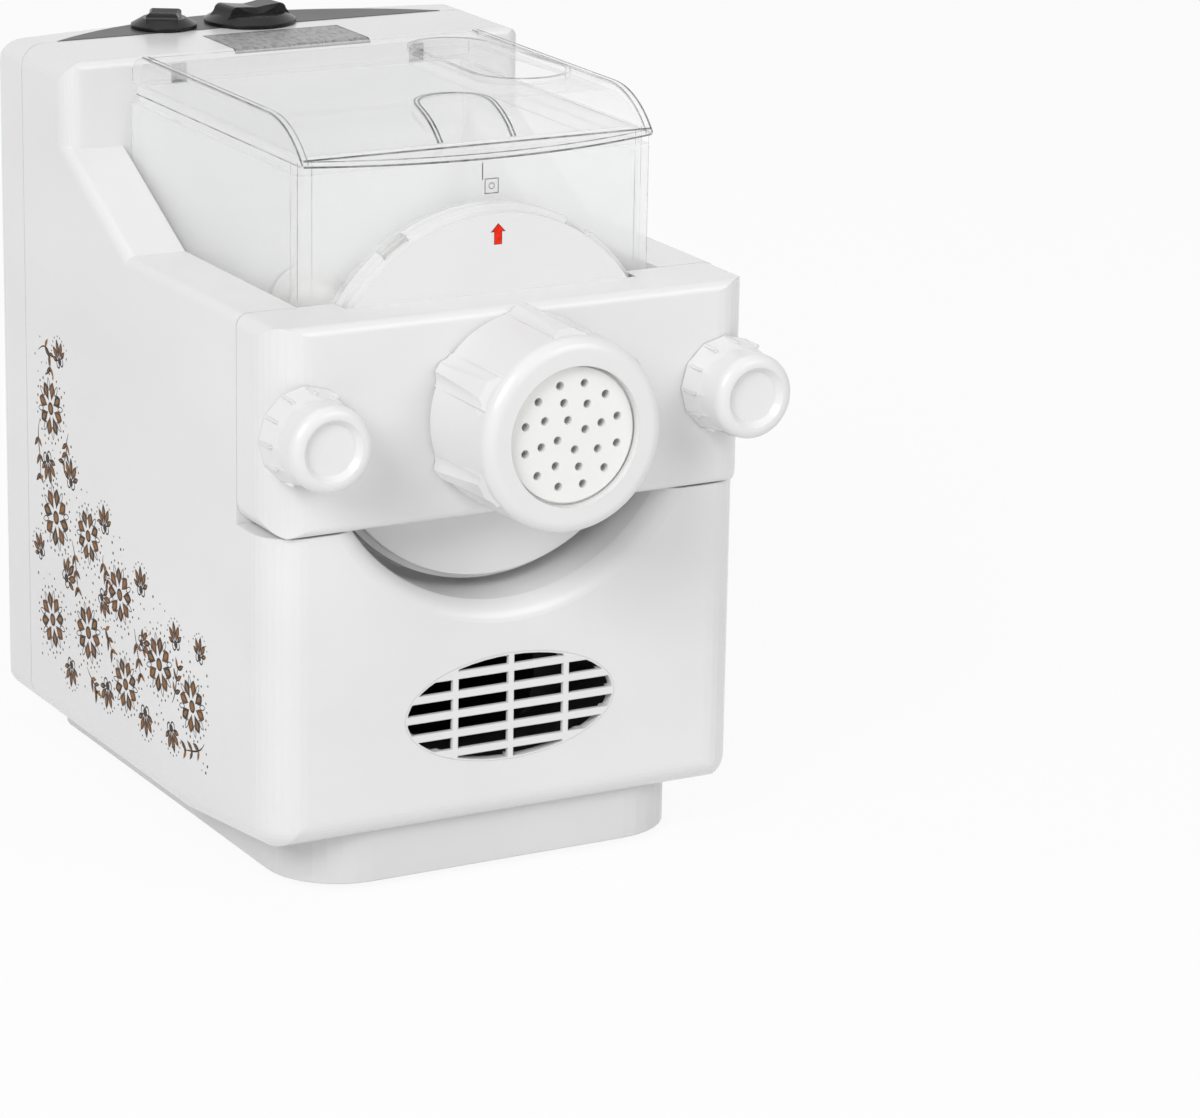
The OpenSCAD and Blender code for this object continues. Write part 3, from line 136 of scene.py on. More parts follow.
def grained(name, color, roughness, scale=900.0, grain=0.25, tint=0.12):
    """Matt moulded or rubbery surface with a fine spark grain and worn, lighter high spots."""
    s = Shader(name, roughness)
    patches = s.noise(26.0, 4.0)
    dark = tuple(c * (1 - tint) for c in color)
    light = tuple(min(c * (1 + tint) + 0.004, 1.0) for c in color)
    s.link(s.ramp(patches, (0.3, 0.72), (dark, light)), "Base Color")
    s.link(s.levels(s.noise(60.0, 3.0), roughness - 0.07, roughness + 0.07), "Roughness")
    fine = s.node("ShaderNodeTexVoronoi", Vector=s.coord, Scale=scale).outputs["Distance"]
    s.link(s.bump(fine, grain, 0.00015, s.soft_edges(0.0004)), "Normal")
    return s.mat


def metal(name, color, roughness, brush=(1.0, 1.0, 60.0), strength=0.12):
    """Machined or rolled metal with directional marks."""
    s = Shader(name, roughness, Metallic=1.0)
    lines = s.noise(40.0, 6.0, 0.65, vector=s.scaled(*brush))
    stains = s.noise(18.0, 3.0)
    dark = tuple(c * 0.86 for c in color)
    s.link(s.ramp(stains, (0.32, 0.68), (dark, color)), "Base Color")
    s.link(s.levels(lines, roughness - 0.08, roughness + 0.12), "Roughness")
    s.link(s.bump(lines, strength, 0.0001, s.soft_edges(0.0003)), "Normal")
    return s.mat


def clear_plastic(name, haze):
    """Clear polycarbonate with a slight haze; walls seen edge-on are denser, and their colour is
    painted grey there as painted shade for refraction's dark edges.
    """
    s = Shader(name, 0.08, IOR=1.5)
    view = s.tree.nodes.new("ShaderNodeLayerWeight")
    view.inputs["Blend"].default_value = 0.5
    flow = s.node("ShaderNodeMath", Value=view.outputs["Facing"])
    s.tree.links.new(s.levels(s.noise(7.0, 2.0), -0.03, 0.03), flow.inputs[1])
    # painted shade: the base colour darkens to grey at grazing angles, standing in for the dark
    # edges that refraction gives
    grey = [(c, c * 1.003, c * 1.006) for c in (0.94, 0.9, 0.4)]
    s.link(s.ramp(flow.outputs[0], (0.0, 0.78, 1.0), grey), "Base Color")
    s.link(s.levels(view.outputs["Facing"], haze, 0.85, 0.72, 0.99), "Alpha")
    s.link(s.levels(s.noise(30.0, 3.0), 0.05, 0.12), "Roughness")
    s.link(s.bump(s.noise(45.0, 2.0), 0.05, 0.0008, s.soft_edges(0.0008)), "Normal")
    return s.mat


def circuit(name):
    """Green solder mask over a fibre weave, with darker tracks."""
    s = Shader(name, 0.35)
    tracks = s.node("ShaderNodeTexBrick", Vector=s.scaled(1.0, 160.0, 110.0), Scale=1.0)
    for key, green in (("Color1", (0.02, 0.16, 0.07)), ("Color2", (0.03, 0.2, 0.09)),
                       ("Mortar", (0.01, 0.09, 0.04))):
        tracks.inputs[key].default_value = (*green, 1)
    s.link(tracks.outputs["Color"], "Base Color")
    weave = s.node("ShaderNodeTexWave", Vector=s.coord, Scale=600.0).outputs["Fac"]
    s.link(s.bump(weave, 0.1, 0.0001), "Normal")
    s.link(s.levels(s.noise(80.0), 0.28, 0.45), "Roughness")
    return s.mat


def ink(name, color):
    """Screen-printed ink: slightly uneven cover over the gloss plastic."""
    s = Shader(name, 0.32, Specular_IOR_Level=0.12)
    cover = s.noise(420.0, 3.0)
    thin = tuple(min(c * 1.25 + 0.006, 1.0) for c in color)
    s.link(s.ramp(cover, (0.34, 0.6), (color, thin)), "Base Color")
    s.link(s.levels(cover, 0.26, 0.42), "Roughness")
    s.link(s.bump(cover, 0.05, 0.00005), "Normal")
    return s.mat


def sticker(name, color):
    """Satin printed film with a fine speckled tint and a faint brushed look."""
    s = Shader(name, 0.35)
    lines = s.noise(30.0, 4.0, 0.6, vector=s.scaled(2.0, 90.0, 90.0))
    speckle = s.noise(520.0, 3.0, 0.7, vector=s.scaled(1.0, 0.5, 1.0))
    dark = tuple(c * 0.6 for c in color)
    light = tuple(c * 1.12 for c in color)
    s.link(s.ramp(speckle, (0.4, 0.56), (dark, light)), "Base Color")
    s.link(s.levels(lines, 0.28, 0.44), "Roughness")
    s.link(s.bump(lines, 0.04, 0.00005), "Normal")
    return s.mat


white = moulded("white_abs", (0.80, 0.80, 0.80), 0.24)
pale = moulded("pale_abs", (0.7, 0.7, 0.705), 0.32)
nylon = moulded("white_nylon", (0.78, 0.78, 0.76), 0.38, grain=0.05)
die_nylon = moulded("die_acetal", (0.88, 0.88, 0.865), 0.36, grain=0.05)
clear = clear_plastic("clear_polycarbonate", 0.34)
lid_clear = clear_plastic("clear_lid", 0.13)
black = moulded("black_abs", (0.008, 0.008, 0.009), 0.26, grain=0.05, tint=0.2,
                Specular_IOR_Level=0.22)
black_matt = grained("black_matt", (0.02, 0.02, 0.02), 0.55)
plate = moulded("grey_plate", (0.075, 0.075, 0.078), 0.4, grain=0.03, tint=0.06,
                Specular_IOR_Level=0.25)
slot_grey = moulded("slot_grey", (0.12, 0.12, 0.125), 0.35)
cream = grained("cream_switch", (0.6, 0.59, 0.54), 0.5, tint=0.05)
rubber = grained("rubber", (0.022, 0.022, 0.023), 0.75, 1400.0, 0.35)
silicone = grained("silicone", (0.7, 0.7, 0.68), 0.6, 1200.0, 0.15, 0.04)
zinc = metal("zinc_steel", (0.62, 0.63, 0.65), 0.32)
ground = metal("ground_steel", (0.66, 0.66, 0.67), 0.2, brush=(60.0, 1.0, 60.0), strength=0.06)
copper = metal("copper", (0.75, 0.36, 0.2), 0.3)
windings = metal("winding_steel", (0.4, 0.33, 0.28), 0.4, brush=(40.0, 1.0, 40.0), strength=0.3)
gear_cream = moulded("gear_acetal", (0.7, 0.68, 0.6), 0.4, grain=0.05)
ferrite = grained("ferrite", (0.06, 0.06, 0.062), 0.6, 700.0, 0.3)
board = circuit("circuit_board")

FINISH = {
    white: ["housing", "rear_cover", "grille", "front_cover", "clamp_panel", "die_nut",
            "clamp_knob_l", "clamp_knob_r"],
    pale: ["base_tray"],
    die_nylon: ["die"],
    nylon: ["mixing_rod", "extrusion_screw", "cup_bush"],
    clear: ["cup"],
    lid_clear: ["lid"],
    black: ["selector_knob", "timer_knob", "motor_fan"],
    # the air duct is black so the grille's slots read dark: painted shade for the unlit inside of
    # the housing
    black_matt: ["air_duct", "interlock_switches", "motor_cap", "selector_switch"],
    plate: ["control_plate"],
    slot_grey: ["slot_frames"],
    cream: ["timer_body"],
    rubber: ["feet", "shaft_seal", "cord_bush"],
    silicone: ["cover_seal"],
    zinc: ["motor_can", "gear_plate_front", "gear_plate_rear", "cover_screws", "gear_screws",
           "washer_l", "washer_r", "stud_nuts", "studs"],
    ground: ["gear_posts", "bearings", "motor_shaft", "motor_pinion", "pinion_a", "shaft_a",
             "pinion_b", "shaft_b", "gear_out", "shaft_out"],
    windings: ["motor_rotor"],
    copper: ["commutator"],
    gear_cream: ["gear_a", "gear_b"],
    ferrite: ["magnets", "brushes"],
    board: ["circuit_board", "board_parts"],
}
for material, names in FINISH.items():
    for name in names:
        mesh = frame["nodes"][name].data
        for i in range(len(mesh.materials)):
            mesh.materials[i] = material
for name in FINISH[clear] + FINISH[lid_clear]:
    frame["nodes"][name].visible_shadow = False      # clear walls let the light through


# ---------------------------------------------------------------- camera, floor and light

WHITE = (1, 1, 1, 1)
CAMERA_TARGET, CAMERA_DISTANCE = (0.05329, -0.0823, 0.1131), 1.9129
CAMERA_ANGLES = (-29.32, 16.8, 1.1)      # azimuth, elevation and roll in degrees
CAMERA_LENS, SENSOR_WIDTH = 146.46, 36.0


def camera():
    """The photograph's camera, solved from its edges."""
    azimuth, elevation, roll = (math.radians(a) for a in CAMERA_ANGLES)
    back = Vector((math.sin(azimuth) * math.cos(elevation),
                   -math.cos(azimuth) * math.cos(elevation), math.sin(elevation)))
    right = (-back).cross(Vector((0, 0, 1))).normalized()
    up = right.cross(-back)
    x_axis = right * math.cos(roll) + up * math.sin(roll)
    y_axis = up * math.cos(roll) - right * math.sin(roll)
    data = bpy.data.cameras.new("camera")
    data.sensor_fit = "HORIZONTAL"
    data.sensor_width = SENSOR_WIDTH
    data.lens = CAMERA_LENS
    data.clip_end = 50
    cam = bpy.data.objects.new("camera", data)
    cam.matrix_world = Matrix((
        (x_axis.x, y_axis.x, back.x, 0), (x_axis.y, y_axis.y, back.y, 0),
        (x_axis.z, y_axis.z, back.z, 0), (0, 0, 0, 1)))
    cam.location = Vector(CAMERA_TARGET) + back * CAMERA_DISTANCE
    bpy.context.scene.collection.objects.link(cam)
    bpy.context.scene.camera = cam


def math_node(tree, operation, first, second):
    """A math node that joins an output with another output or a number."""
    made = tree.nodes.new("ShaderNodeMath")
    made.operation = operation
    tree.links.new(first, made.inputs[0])
    if isinstance(second, bpy.types.NodeSocket):
        tree.links.new(second, made.inputs[1])
    else:
        made.inputs[1].default_value = second
    return made.outputs[0]


def mixed(tree, share, plain, shown, target):
    """Mix two shaders by a share, into the target socket."""
    mix = tree.nodes.new("ShaderNodeMixShader")
    for source, socket in ((share, mix.inputs["Fac"]), (plain, mix.inputs[1]),
                           (shown, mix.inputs[2]), (mix.outputs[0], target)):
        tree.links.new(source, socket)


def seen_directly(tree):
    """1 for camera, glossy and transmission rays."""
    rays = tree.nodes.new("ShaderNodeLightPath").outputs
    mirror = math_node(tree, "MAXIMUM", rays["Is Camera Ray"], rays["Is Glossy Ray"])
    return math_node(tree, "MAXIMUM", mirror, rays["Is Transmission Ray"])


def world(ambient):
    """Plain white where it is seen directly, and an even dimmer light for everything else."""
    made = bpy.data.worlds.new("studio")
    made.use_nodes = True
    tree = made.node_tree
    plain, shown = tree.nodes["Background"], tree.nodes.new("ShaderNodeBackground")
    for back, strength in ((plain, ambient), (shown, 1.0)):
        back.inputs["Color"].default_value = WHITE
        back.inputs["Strength"].default_value = strength
    mixed(tree, seen_directly(tree), plain.outputs[0], shown.outputs[0],
          tree.nodes["World Output"].inputs["Surface"])
    bpy.context.scene.world = made


def floor(lift):
    """Pale floor that keeps the shadow; lift is the share of plain white that direct views get."""
    mesh = bpy.data.meshes.new("floor")
    r = 12.0
    mesh.from_pydata([(-r, -r, 0), (r, -r, 0), (r, r, 0), (-r, r, 0)], [], [(0, 1, 2, 3)])
    obj = bpy.data.objects.new("floor", mesh)
    bpy.context.scene.collection.objects.link(obj)
    mat = bpy.data.materials.new("floor")
    mat.use_nodes = True
    tree = mat.node_tree
    bsdf = tree.nodes["Principled BSDF"]
    bsdf.inputs["Base Color"].default_value = (0.86, 0.86, 0.86, 1)
    bsdf.inputs["Roughness"].default_value = 0.9
    bsdf.inputs["Specular IOR Level"].default_value = 0.1
    glow = tree.nodes.new("ShaderNodeEmission")
    glow.inputs["Color"].default_value = WHITE
    share = math_node(tree, "MULTIPLY", seen_directly(tree), lift)
    mixed(tree, share, bsdf.outputs[0], glow.outputs[0],
          tree.nodes["Material Output"].inputs["Surface"])
    mesh.materials.append(mat)


def area_light(name, position, aim, size, power):
    """A square soft box in metres and watts, turned towards its aim."""
    data = bpy.data.lights.new(name, "AREA")
    data.shape = "SQUARE"
    data.size = size
    data.energy = power
    obj = bpy.data.objects.new(name, data)
    obj.location = position
    obj.rotation_euler = (Vector(aim) - Vector(position)).to_track_quat("-Z", "Y").to_euler()
    bpy.context.scene.collection.objects.link(obj)


bpy.context.scene.view_settings.view_transform = "Standard"
camera()
world(ambient=0.4)
floor(lift=0.92)
area_light("key", (-3.4, -2.4, 2.85), (0, 0, 0.15), 2.1, 126)
area_light("fill", (1.1, -2.05, 1.5), (0, 0, 0.15), 1.4, 16)
area_light("top", (0.1, 0.1, 2.2), (0, 0, 0.2), 1.6, 4)


# ---------------------------------------------------------------- printed marks

INK_LIFT, INK_LAYER = 0.03, 0.02      # mm: print above plastic, and each layer above the last
DARK, RUST, GOLD = 0, 1, 2
INKS = [ink("ink_dark", (0.018, 0.008, 0.004)), ink("ink_rust", (0.085, 0.028, 0.005)),
        ink("ink_gold", (0.22, 0.095, 0.018))]


def at(x, y, z):
    """A point of the drawing, in the frame's metres."""
    return (x * MM, (y + SHIFT) * MM, z * MM)


def new_piece(name, verts, polys, materials, body):
    """A mesh of the scene's own that rides on a body."""
    mesh = bpy.data.meshes.new(name)
    mesh.from_pydata(verts, [], polys)
    for material in materials:
        mesh.materials.append(material)
    obj = bpy.data.objects.new(name, mesh)
    bpy.context.scene.collection.objects.link(obj)
    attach(obj, body)
    return obj


def flat_piece(name, faces, materials, body):
    """A mesh of flat coloured faces: faces is a list of (points, material index)."""
    verts, polys = [], []
    for points, _ in faces:
        polys.append(list(range(len(verts), len(verts) + len(points))))
        verts.extend(points)
    obj = new_piece(name, verts, polys, materials, body)
    for poly, (_, slot) in zip(obj.data.polygons, faces):
        poly.material_index = slot
    obj.data.update()


class Print:
    """Collects ink shapes, in mm on a flat face; each layer lies a little above the last."""

    def __init__(self):
        self.shapes = []

    def fill(self, points, ink_index, layer=0):
        """One flat shape of ink."""
        self.shapes.append((points, ink_index, layer))

    def dot(self, x, y, r, ink_index, layer=0, sides=10):
        self.fill([polar(x, y, r, 2 * math.pi * k / sides) for k in range(sides)], ink_index, layer)

    def stroke(self, points, width, ink_index, layer=0, taper=True):
        """A line of brush strokes: quads along the points, thinner at the ends."""
        rows = []
        last = len(points) - 1
        for k, (x, y) in enumerate(points):
            x0, y0 = points[max(k - 1, 0)]
            x1, y1 = points[min(k + 1, last)]
            length = math.hypot(x1 - x0, y1 - y0) or 1.0
            half = width / 2 * (0.35 + 0.65 * math.sin(math.pi * k / last) if taper else 1.0)
            nx, ny = -(y1 - y0) / length * half, (x1 - x0) / length * half
            rows.append(((x + nx, y + ny), (x - nx, y - ny)))
        for a, b in zip(rows, rows[1:]):
            self.fill([a[0], b[0], b[1], a[1]], ink_index, layer)

    def outline(self, points, width, ink_index, layer=0):
        """A closed line of even width."""
        self.stroke(points + [points[0]], width, ink_index, layer, taper=False)


def polar(x, y, r, angle):
    """The point at a distance and an angle in radians from (x, y)."""
    return x + r * math.cos(angle), y + r * math.sin(angle)


def petal(x, y, angle, start, length, width, fat=1.35, count=14):
    """Drop-shaped outline that starts at a distance from (x, y) and widens outwards."""
    side = []
    for k in range(count + 1):
        t = k / count
        side.append((start + length * t, width / 2 * math.sin(math.pi * t ** fat)))
    points = side + [(u, -v) for u, v in reversed(side[1:-1])]
    c, s = math.cos(angle), math.sin(angle)
    return [(x + u * c - v * s, y + u * s + v * c) for u, v in points]


def curve(p0, p1, p2, p3):
    """Points along a cubic Bezier curve."""
    out = []
    for k in range(17):
        t = k / 16
        a, b, c, d = (1 - t) ** 3, 3 * t * (1 - t) ** 2, 3 * t * t * (1 - t), t ** 3
        out.append((a * p0[0] + b * p1[0] + c * p2[0] + d * p3[0],
                    a * p0[1] + b * p1[1] + c * p2[1] + d * p3[1]))
    return out


def spiral(x, y, angle, r, turns):
    """Points that wind inwards from a distance r round (x, y)."""
    return [polar(x, y, r * (1 - k / 22 * 0.85), angle + 2 * math.pi * turns * k / 22)
            for k in range(23)]


def daisy(art, x, y, r, turn):
    """Open flower: broad petals with lighter hearts, slim ones between and beads at the rim."""
    petals = 8
    art.dot(x, y, 0.2 * r, DARK, 1, 16)
    art.dot(x, y, 0.13 * r, GOLD, 2, 14)
    for k in range(petals):
        a = turn + 2 * math.pi * k / petals
        art.fill(petal(x, y, a, 0.25 * r, 0.62 * r, 0.37 * r), DARK if k % 2 else RUST, 1)
        art.fill(petal(x, y, a, 0.4 * r, 0.36 * r, 0.15 * r), GOLD, 2)
        b = a + math.pi / petals
        art.outline(petal(x, y, b, 0.55 * r, 0.4 * r, 0.16 * r, 1.0, 8), 0.4, DARK, 0)
        art.dot(*polar(x, y, r, a), 0.05 * r, GOLD)
        for side in (-1, 1):
            art.dot(*polar(x, y, 1.06 * r, b + side * 0.13), 0.04 * r, DARK)


def tulip(art, x, y, r, turn):
    """Half-open bloom on a cup of sepals, seen from the side."""
    for k, (off, reach, width, tone) in enumerate([
            (-1.15, 0.7, 0.27, DARK), (1.15, 0.7, 0.27, DARK), (-0.58, 0.9, 0.36, RUST),
            (0.58, 0.9, 0.36, RUST), (0.0, 1.0, 0.36, DARK)]):
        a, reach, width = turn + off, reach * r, width * r
        art.fill(petal(x, y, a, 0.16 * r, reach, width, 1.2), tone, k % 2 + 1)
        art.fill(petal(x, y, a, 0.45 * r, reach * 0.5, width * 0.42, 1.1, 8), GOLD, 3)
    art.dot(x, y, 0.2 * r, DARK, 2, 14)
    for side in (-1, 1):
        foot = polar(x, y, 0.2 * r, turn + side * 2.2)
        art.stroke(spiral(*foot, turn + side * 0.4, 0.3 * r, side * 0.8), 0.7, DARK, 1)
        for k in range(4):
            bead = polar(x, y, (1.28 - 0.06 * k) * r, turn + side * (0.16 + 0.24 * k))
            art.dot(*bead, 0.05 * r, DARK)


def leaf(art, x, y, length, turn, tone):
    """A filled leaf with a lighter rib."""
    art.fill(petal(x, y, turn, 0.0, length, 0.36 * length, 0.85), tone, 1)
    art.stroke([polar(x, y, length * t, turn) for t in (0.1, 0.35, 0.6, 0.85)], 0.4, GOLD, 2)


def sprig(art, points):
    """A vine with paired leaves and a bead at its end."""
    step, length = 5, 6.0
    art.stroke(points, 0.8, DARK)
    for k in range(step, len(points) - 1, step):
        (x0, y0), (x1, y1) = points[k - 1], points[k]
        a = math.atan2(y1 - y0, x1 - x0)
        leaf(art, x1, y1, length, a + 0.75, DARK if k % 2 else RUST)
        leaf(art, x1, y1, length * 0.85, a - 0.75, GOLD if k % 2 else DARK)
    art.dot(*points[-1], 0.8, RUST, 1)


def side_print():
    """Generic folk flowers in brown inks, mirrored on both sides, in drawing depth and height."""
    art = Print()
    for spot in [(210, 148, 13.5, 0.2), (206, 103, 14.5, 0.9), (211, 58, 13.5, 0.5),
                 (173, 104, 12.5, 0.3), (174, 63, 13.5, 0.1), (142, 88, 13.0, 0.7),
                 (137, 52, 12.5, 0.35), (104, 70, 13.5, 0.9), (73, 62, 13.0, 0.15)]:
        daisy(art, *spot)
    for spot in [(214, 126, 9.5, -1.9), (200, 170, 8.0, 1.2), (196, 80, 9.5, 2.4),
                 (190, 122, 9.0, 1.6), (156, 112, 8.5, 1.4), (160, 82, 8.5, -2.6),
                 (121, 96, 8.5, 1.5), (155, 46, 9.0, -1.4), (121, 74, 7.5, 2.9),
                 (118, 46, 9.0, -1.7), (88, 83, 8.0, 1.3), (93, 47, 8.5, -1.9),
                 (66, 84, 7.5, 1.7), (192, 44, 8.5, -1.5), (222, 84, 8.0, 0.9)]:
        tulip(art, *spot)
    for points in [curve((222, 170), (214, 176), (208, 172), (210, 164)),
                   curve((222, 140), (226, 132), (220, 126), (222, 116)),
                   curve((192, 142), (196, 136), (192, 134), (198, 128)),
                   curve((190, 98), (186, 92), (186, 86), (184, 78)),
                   curve((158, 100), (160, 96), (156, 94), (154, 90)),
                   curve((160, 68), (156, 72), (154, 66), (150, 62)),
                   curve((128, 78), (126, 72), (124, 66), (122, 60)),
                   curve((92, 58), (88, 62), (88, 70), (86, 74)),
                   curve((62, 50), (66, 44), (74, 44), (80, 42)),
                   curve((176, 48), (170, 42), (168, 44), (166, 40))]:
        sprig(art, points)
    dice, tries, gap_squared = random.Random(7), 900, 7
    field = [(226, 177), (190, 177), (192, 168), (187, 126), (166, 122), (125, 107), (93, 92),
             (58, 92), (58, 38), (226, 38)]
    taken = [shape[0][0] for shape in art.shapes]
    for _ in range(tries):
        x, y = dice.uniform(58, 226), dice.uniform(38, 177)
        if inside(x, y, field) and all((x - u) ** 2 + (y - v) ** 2 > gap_squared for u, v in taken):
            taken.append((x, y))
            art.dot(x, y, dice.choice((0.4, 0.5, 0.65)), dice.choice((DARK, GOLD, RUST)), 0, 8)
    faces = []
    for side in (-1, 1):
        for points, slot, layer in art.shapes:
            flat = [at(side * (SIDE_X + INK_LIFT + INK_LAYER * layer), u, v) for u, v in points]
            area = sum(a[0] * b[1] - b[0] * a[1] for a, b in zip(points, points[1:] + points[:1]))
            faces.append((flat if area * side > 0 else flat[::-1], slot))
    flat_piece("side_print", faces, INKS, "base")


def inside(x, y, outline):
    """Whether a point lies inside a closed outline."""
    hit = False
    for (x0, y0), (x1, y1) in zip(outline, outline[1:] + outline[:1]):
        if (y0 > y) != (y1 > y) and x < (x1 - x0) * (y - y0) / (y1 - y0) + x0:
            hit = not hit
    return hit


def arrow(x, z, grow):
    """Outline of an up arrow whose shaft stands on (x, z), grown by a distance."""
    shaft, head, neck, tip = 1.45 + grow, 2.7 + 2 * grow, z + 4.9 - grow, z + 7.6 + 1.6 * grow
    foot = z - grow
    return [(x - shaft, foot), (x + shaft, foot), (x + shaft, neck), (x + head, neck), (x, tip),
            (x - head, neck), (x - shaft, neck)]


def rectangle(x0, z0, x1, z1):
    """Corners of an upright rectangle."""
    return [(x0, z0), (x1, z0), (x1, z1), (x0, z1)]


def front_marks():
    """Up arrow on the front cover, and a tick line with an open square on the hopper's front."""
    red = ink("ink_red", (0.72, 0.018, 0.004))
    maroon = ink("ink_maroon", (0.09, 0.012, 0.008))
    grey = ink("ink_grey", (0.16, 0.16, 0.17))
    foot, border, lift = (1.9, 246.4), 0.25, 0.04

    def upright(y, points):
        """Points of an upright face, lifted off it to the front."""
        return [at(x, y - lift, z) for x, z in points]

    flat_piece("arrow_mark", [(upright(DISC_FRONT, arrow(*foot, border)), 1),
                              (upright(DISC_FRONT - INK_LAYER, arrow(*foot, 0)), 0)],
               [red, maroon], "front")

    x0, z0, side, line = 3.6, 262.4, 6.0, 0.35
    x1, z1 = x0 + side, z0 + side
    shapes = [rectangle(2.4, 268.0, 2.9, 274.6),
              rectangle(x0, z0, x1, z0 + line), rectangle(x0, z1 - line, x1, z1),
              rectangle(x0, z0 + line, x0 + line, z1 - line),
              rectangle(x1 - line, z0 + line, x1, z1 - line)]
    middle, ring_r, sides = (x0 + side / 2, z0 + side / 2), 1.3, 20
    angles = [2 * math.pi * k / sides for k in range(sides + 1)]
    for a, b in zip(angles, angles[1:]):
        shapes.append([polar(*middle, ring_r, a), polar(*middle, ring_r, b),
                       polar(*middle, ring_r - 0.3, b), polar(*middle, ring_r - 0.3, a)])
    flat_piece("hopper_mark", [(upright(CUP_FRONT, shape), 0) for shape in shapes],
               [grey], "hopper")


def top_sticker():
    """Blank grey film with a dark border on the column's top; it folds over the front edge."""
    film = sticker("sticker_film", (0.3, 0.3, 0.305))
    border = sticker("sticker_border", (0.06, 0.06, 0.062))
    left, right, rear = -28.0, 32.5, 223.5
    lift, border_lift, border_w, rear_border_w = 0.05, 0.02, 0.6, 0.8
    fold = (COLUMN_FRONT + COLUMN_EDGE, COLUMN_TOP - COLUMN_EDGE)
    run = [(rear, COLUMN_TOP + lift), (fold[0], COLUMN_TOP + lift)]
    run += [polar(*fold, COLUMN_EDGE + lift, math.radians(90 + 62 * k / 6)) for k in range(1, 7)]
    faces = []

    def band(x0, x1, start, end, slot):
        """One strip of the label between two points of its run."""
        raised = border_lift * slot
        (y0, z0), (y1, z1) = start, end
        faces.append(([at(x0, y0, z0 + raised), at(x0, y1, z1 + raised),
                       at(x1, y1, z1 + raised), at(x1, y0, z0 + raised)], slot))

    for x0, x1, slot in ((left, right, 0), (left, left + border_w, 1),
                         (right - border_w, right, 1)):
        for start, end in zip(run, run[1:]):
            band(x0, x1, start, end, slot)
    band(left, right, run[0], (rear - rear_border_w, run[0][1]), 1)
    band(left, right, run[-2], run[-1], 1)
    flat_piece("top_sticker", faces, [film, border], "base")


def painted_edge_shade(name, dark, light, thin, dense):
    """Painted shade for the dark refraction lines along clear plastic edges: grey that comes and
    goes along its length.
    """
    s = Shader(name, 0.12, Specular_IOR_Level=0.6)
    wave = s.noise(90.0, 4.0, 0.6)
    greys = [(c, c * 1.01, c * 1.03) for c in (dark, light)]
    # painted shade: the strip's colour moves between dark and mid grey
    s.link(s.ramp(wave, (0.34, 0.62), greys), "Base Color")
    s.link(s.levels(s.noise(55.0, 3.0), thin, dense, 0.36, 0.6), "Alpha")
    s.link(s.bump(wave, 0.2, 0.0002), "Normal")
    return s.mat


def sweep(runs, width, height, name, material, body):
    """Flat-topped rounded ridges along runs of (point, normal) pairs, in drawing millimetres."""
    verts, polys = [], []
    section = [(-0.5, 0.0), (-0.5, 0.6), (-0.3, 1.0), (0.3, 1.0), (0.5, 0.6), (0.5, 0.0)]
    for run in runs:
        base, last = len(verts), len(run) - 1
        for k, (point, normal) in enumerate(run):
            along = Vector(run[min(k + 1, last)][0]) - Vector(run[max(k - 1, 0)][0])
            up = Vector(normal).normalized()
            side = along.cross(up).normalized()
            for u, v in section:
                verts.append(at(*(Vector(point) + side * (u * width) + up * (v * height))))
        n = len(section)
        for k in range(last):
            for i in range(n):
                a, b = base + k * n + i, base + k * n + (i + 1) % n
                polys.append((a, b, b + n, a + n))
        polys.append(tuple(base + i for i in range(n))[::-1])
        polys.append(tuple(base + last * n + i for i in range(n)))
    obj = new_piece(name, verts, polys, [material], body)
    obj.visible_shadow = False
    for poly in obj.data.polygons:
        poly.use_smooth = True
    obj.data.update()


# Grey strips laid along the clear parts' edges: painted shade standing in for the dark lines
# refraction draws there.
thin_shade_line = painted_edge_shade("painted_edge_shade", 0.06, 0.42, 0.2, 0.85)
dark_shade_line = painted_edge_shade("dark_painted_edge_shade", 0.03, 0.3, 0.55, 1.0)
LID_FRONT, LID_REAR, LID_TOP, LID_LOW = 33.6, 187.5, 295.0, 280.0
LID_CURVE, LID_BOW = 37.0, 14.0       # radius of the rounded front edge, and how far the front bows
CURVE_Y = LID_FRONT + math.sqrt(LID_CURVE ** 2 - (LID_CURVE - LID_TOP + LID_LOW) ** 2)


def lid_skin(y):
    """Height of the lid's outer face at drawing depth y, and its normal."""
    if y >= CURVE_Y:
        return LID_TOP, (0.0, 0.0, 1.0)
    rise = math.sqrt(max(LID_CURVE ** 2 - (y - CURVE_Y) ** 2, 0.0))
    return LID_TOP - LID_CURVE + rise, (0.0, (y - CURVE_Y) / LID_CURVE, rise / LID_CURVE)


def lid_run(points, lift=0.0):
    """A run for sweep() along plan points, lifted off the lid's outer face."""
    run = []
    for x, y in points:
        z, normal = lid_skin(y)
        run.append(((x, y + lift * normal[1], z + lift * normal[2]), normal))
    return run


def scoop_ring(r):
    """Plan points round the thumb scoop: along one leg, round the rear and back along the other."""
    legs = [LID_FRONT + 3 + 4 * k for k in range(4)]
    arc = [polar(0, LID_FRONT + 19, r, math.pi * k / 24) for k in range(25)]
    return [(r, y) for y in legs] + arc + [(-r, y) for y in reversed(legs)]


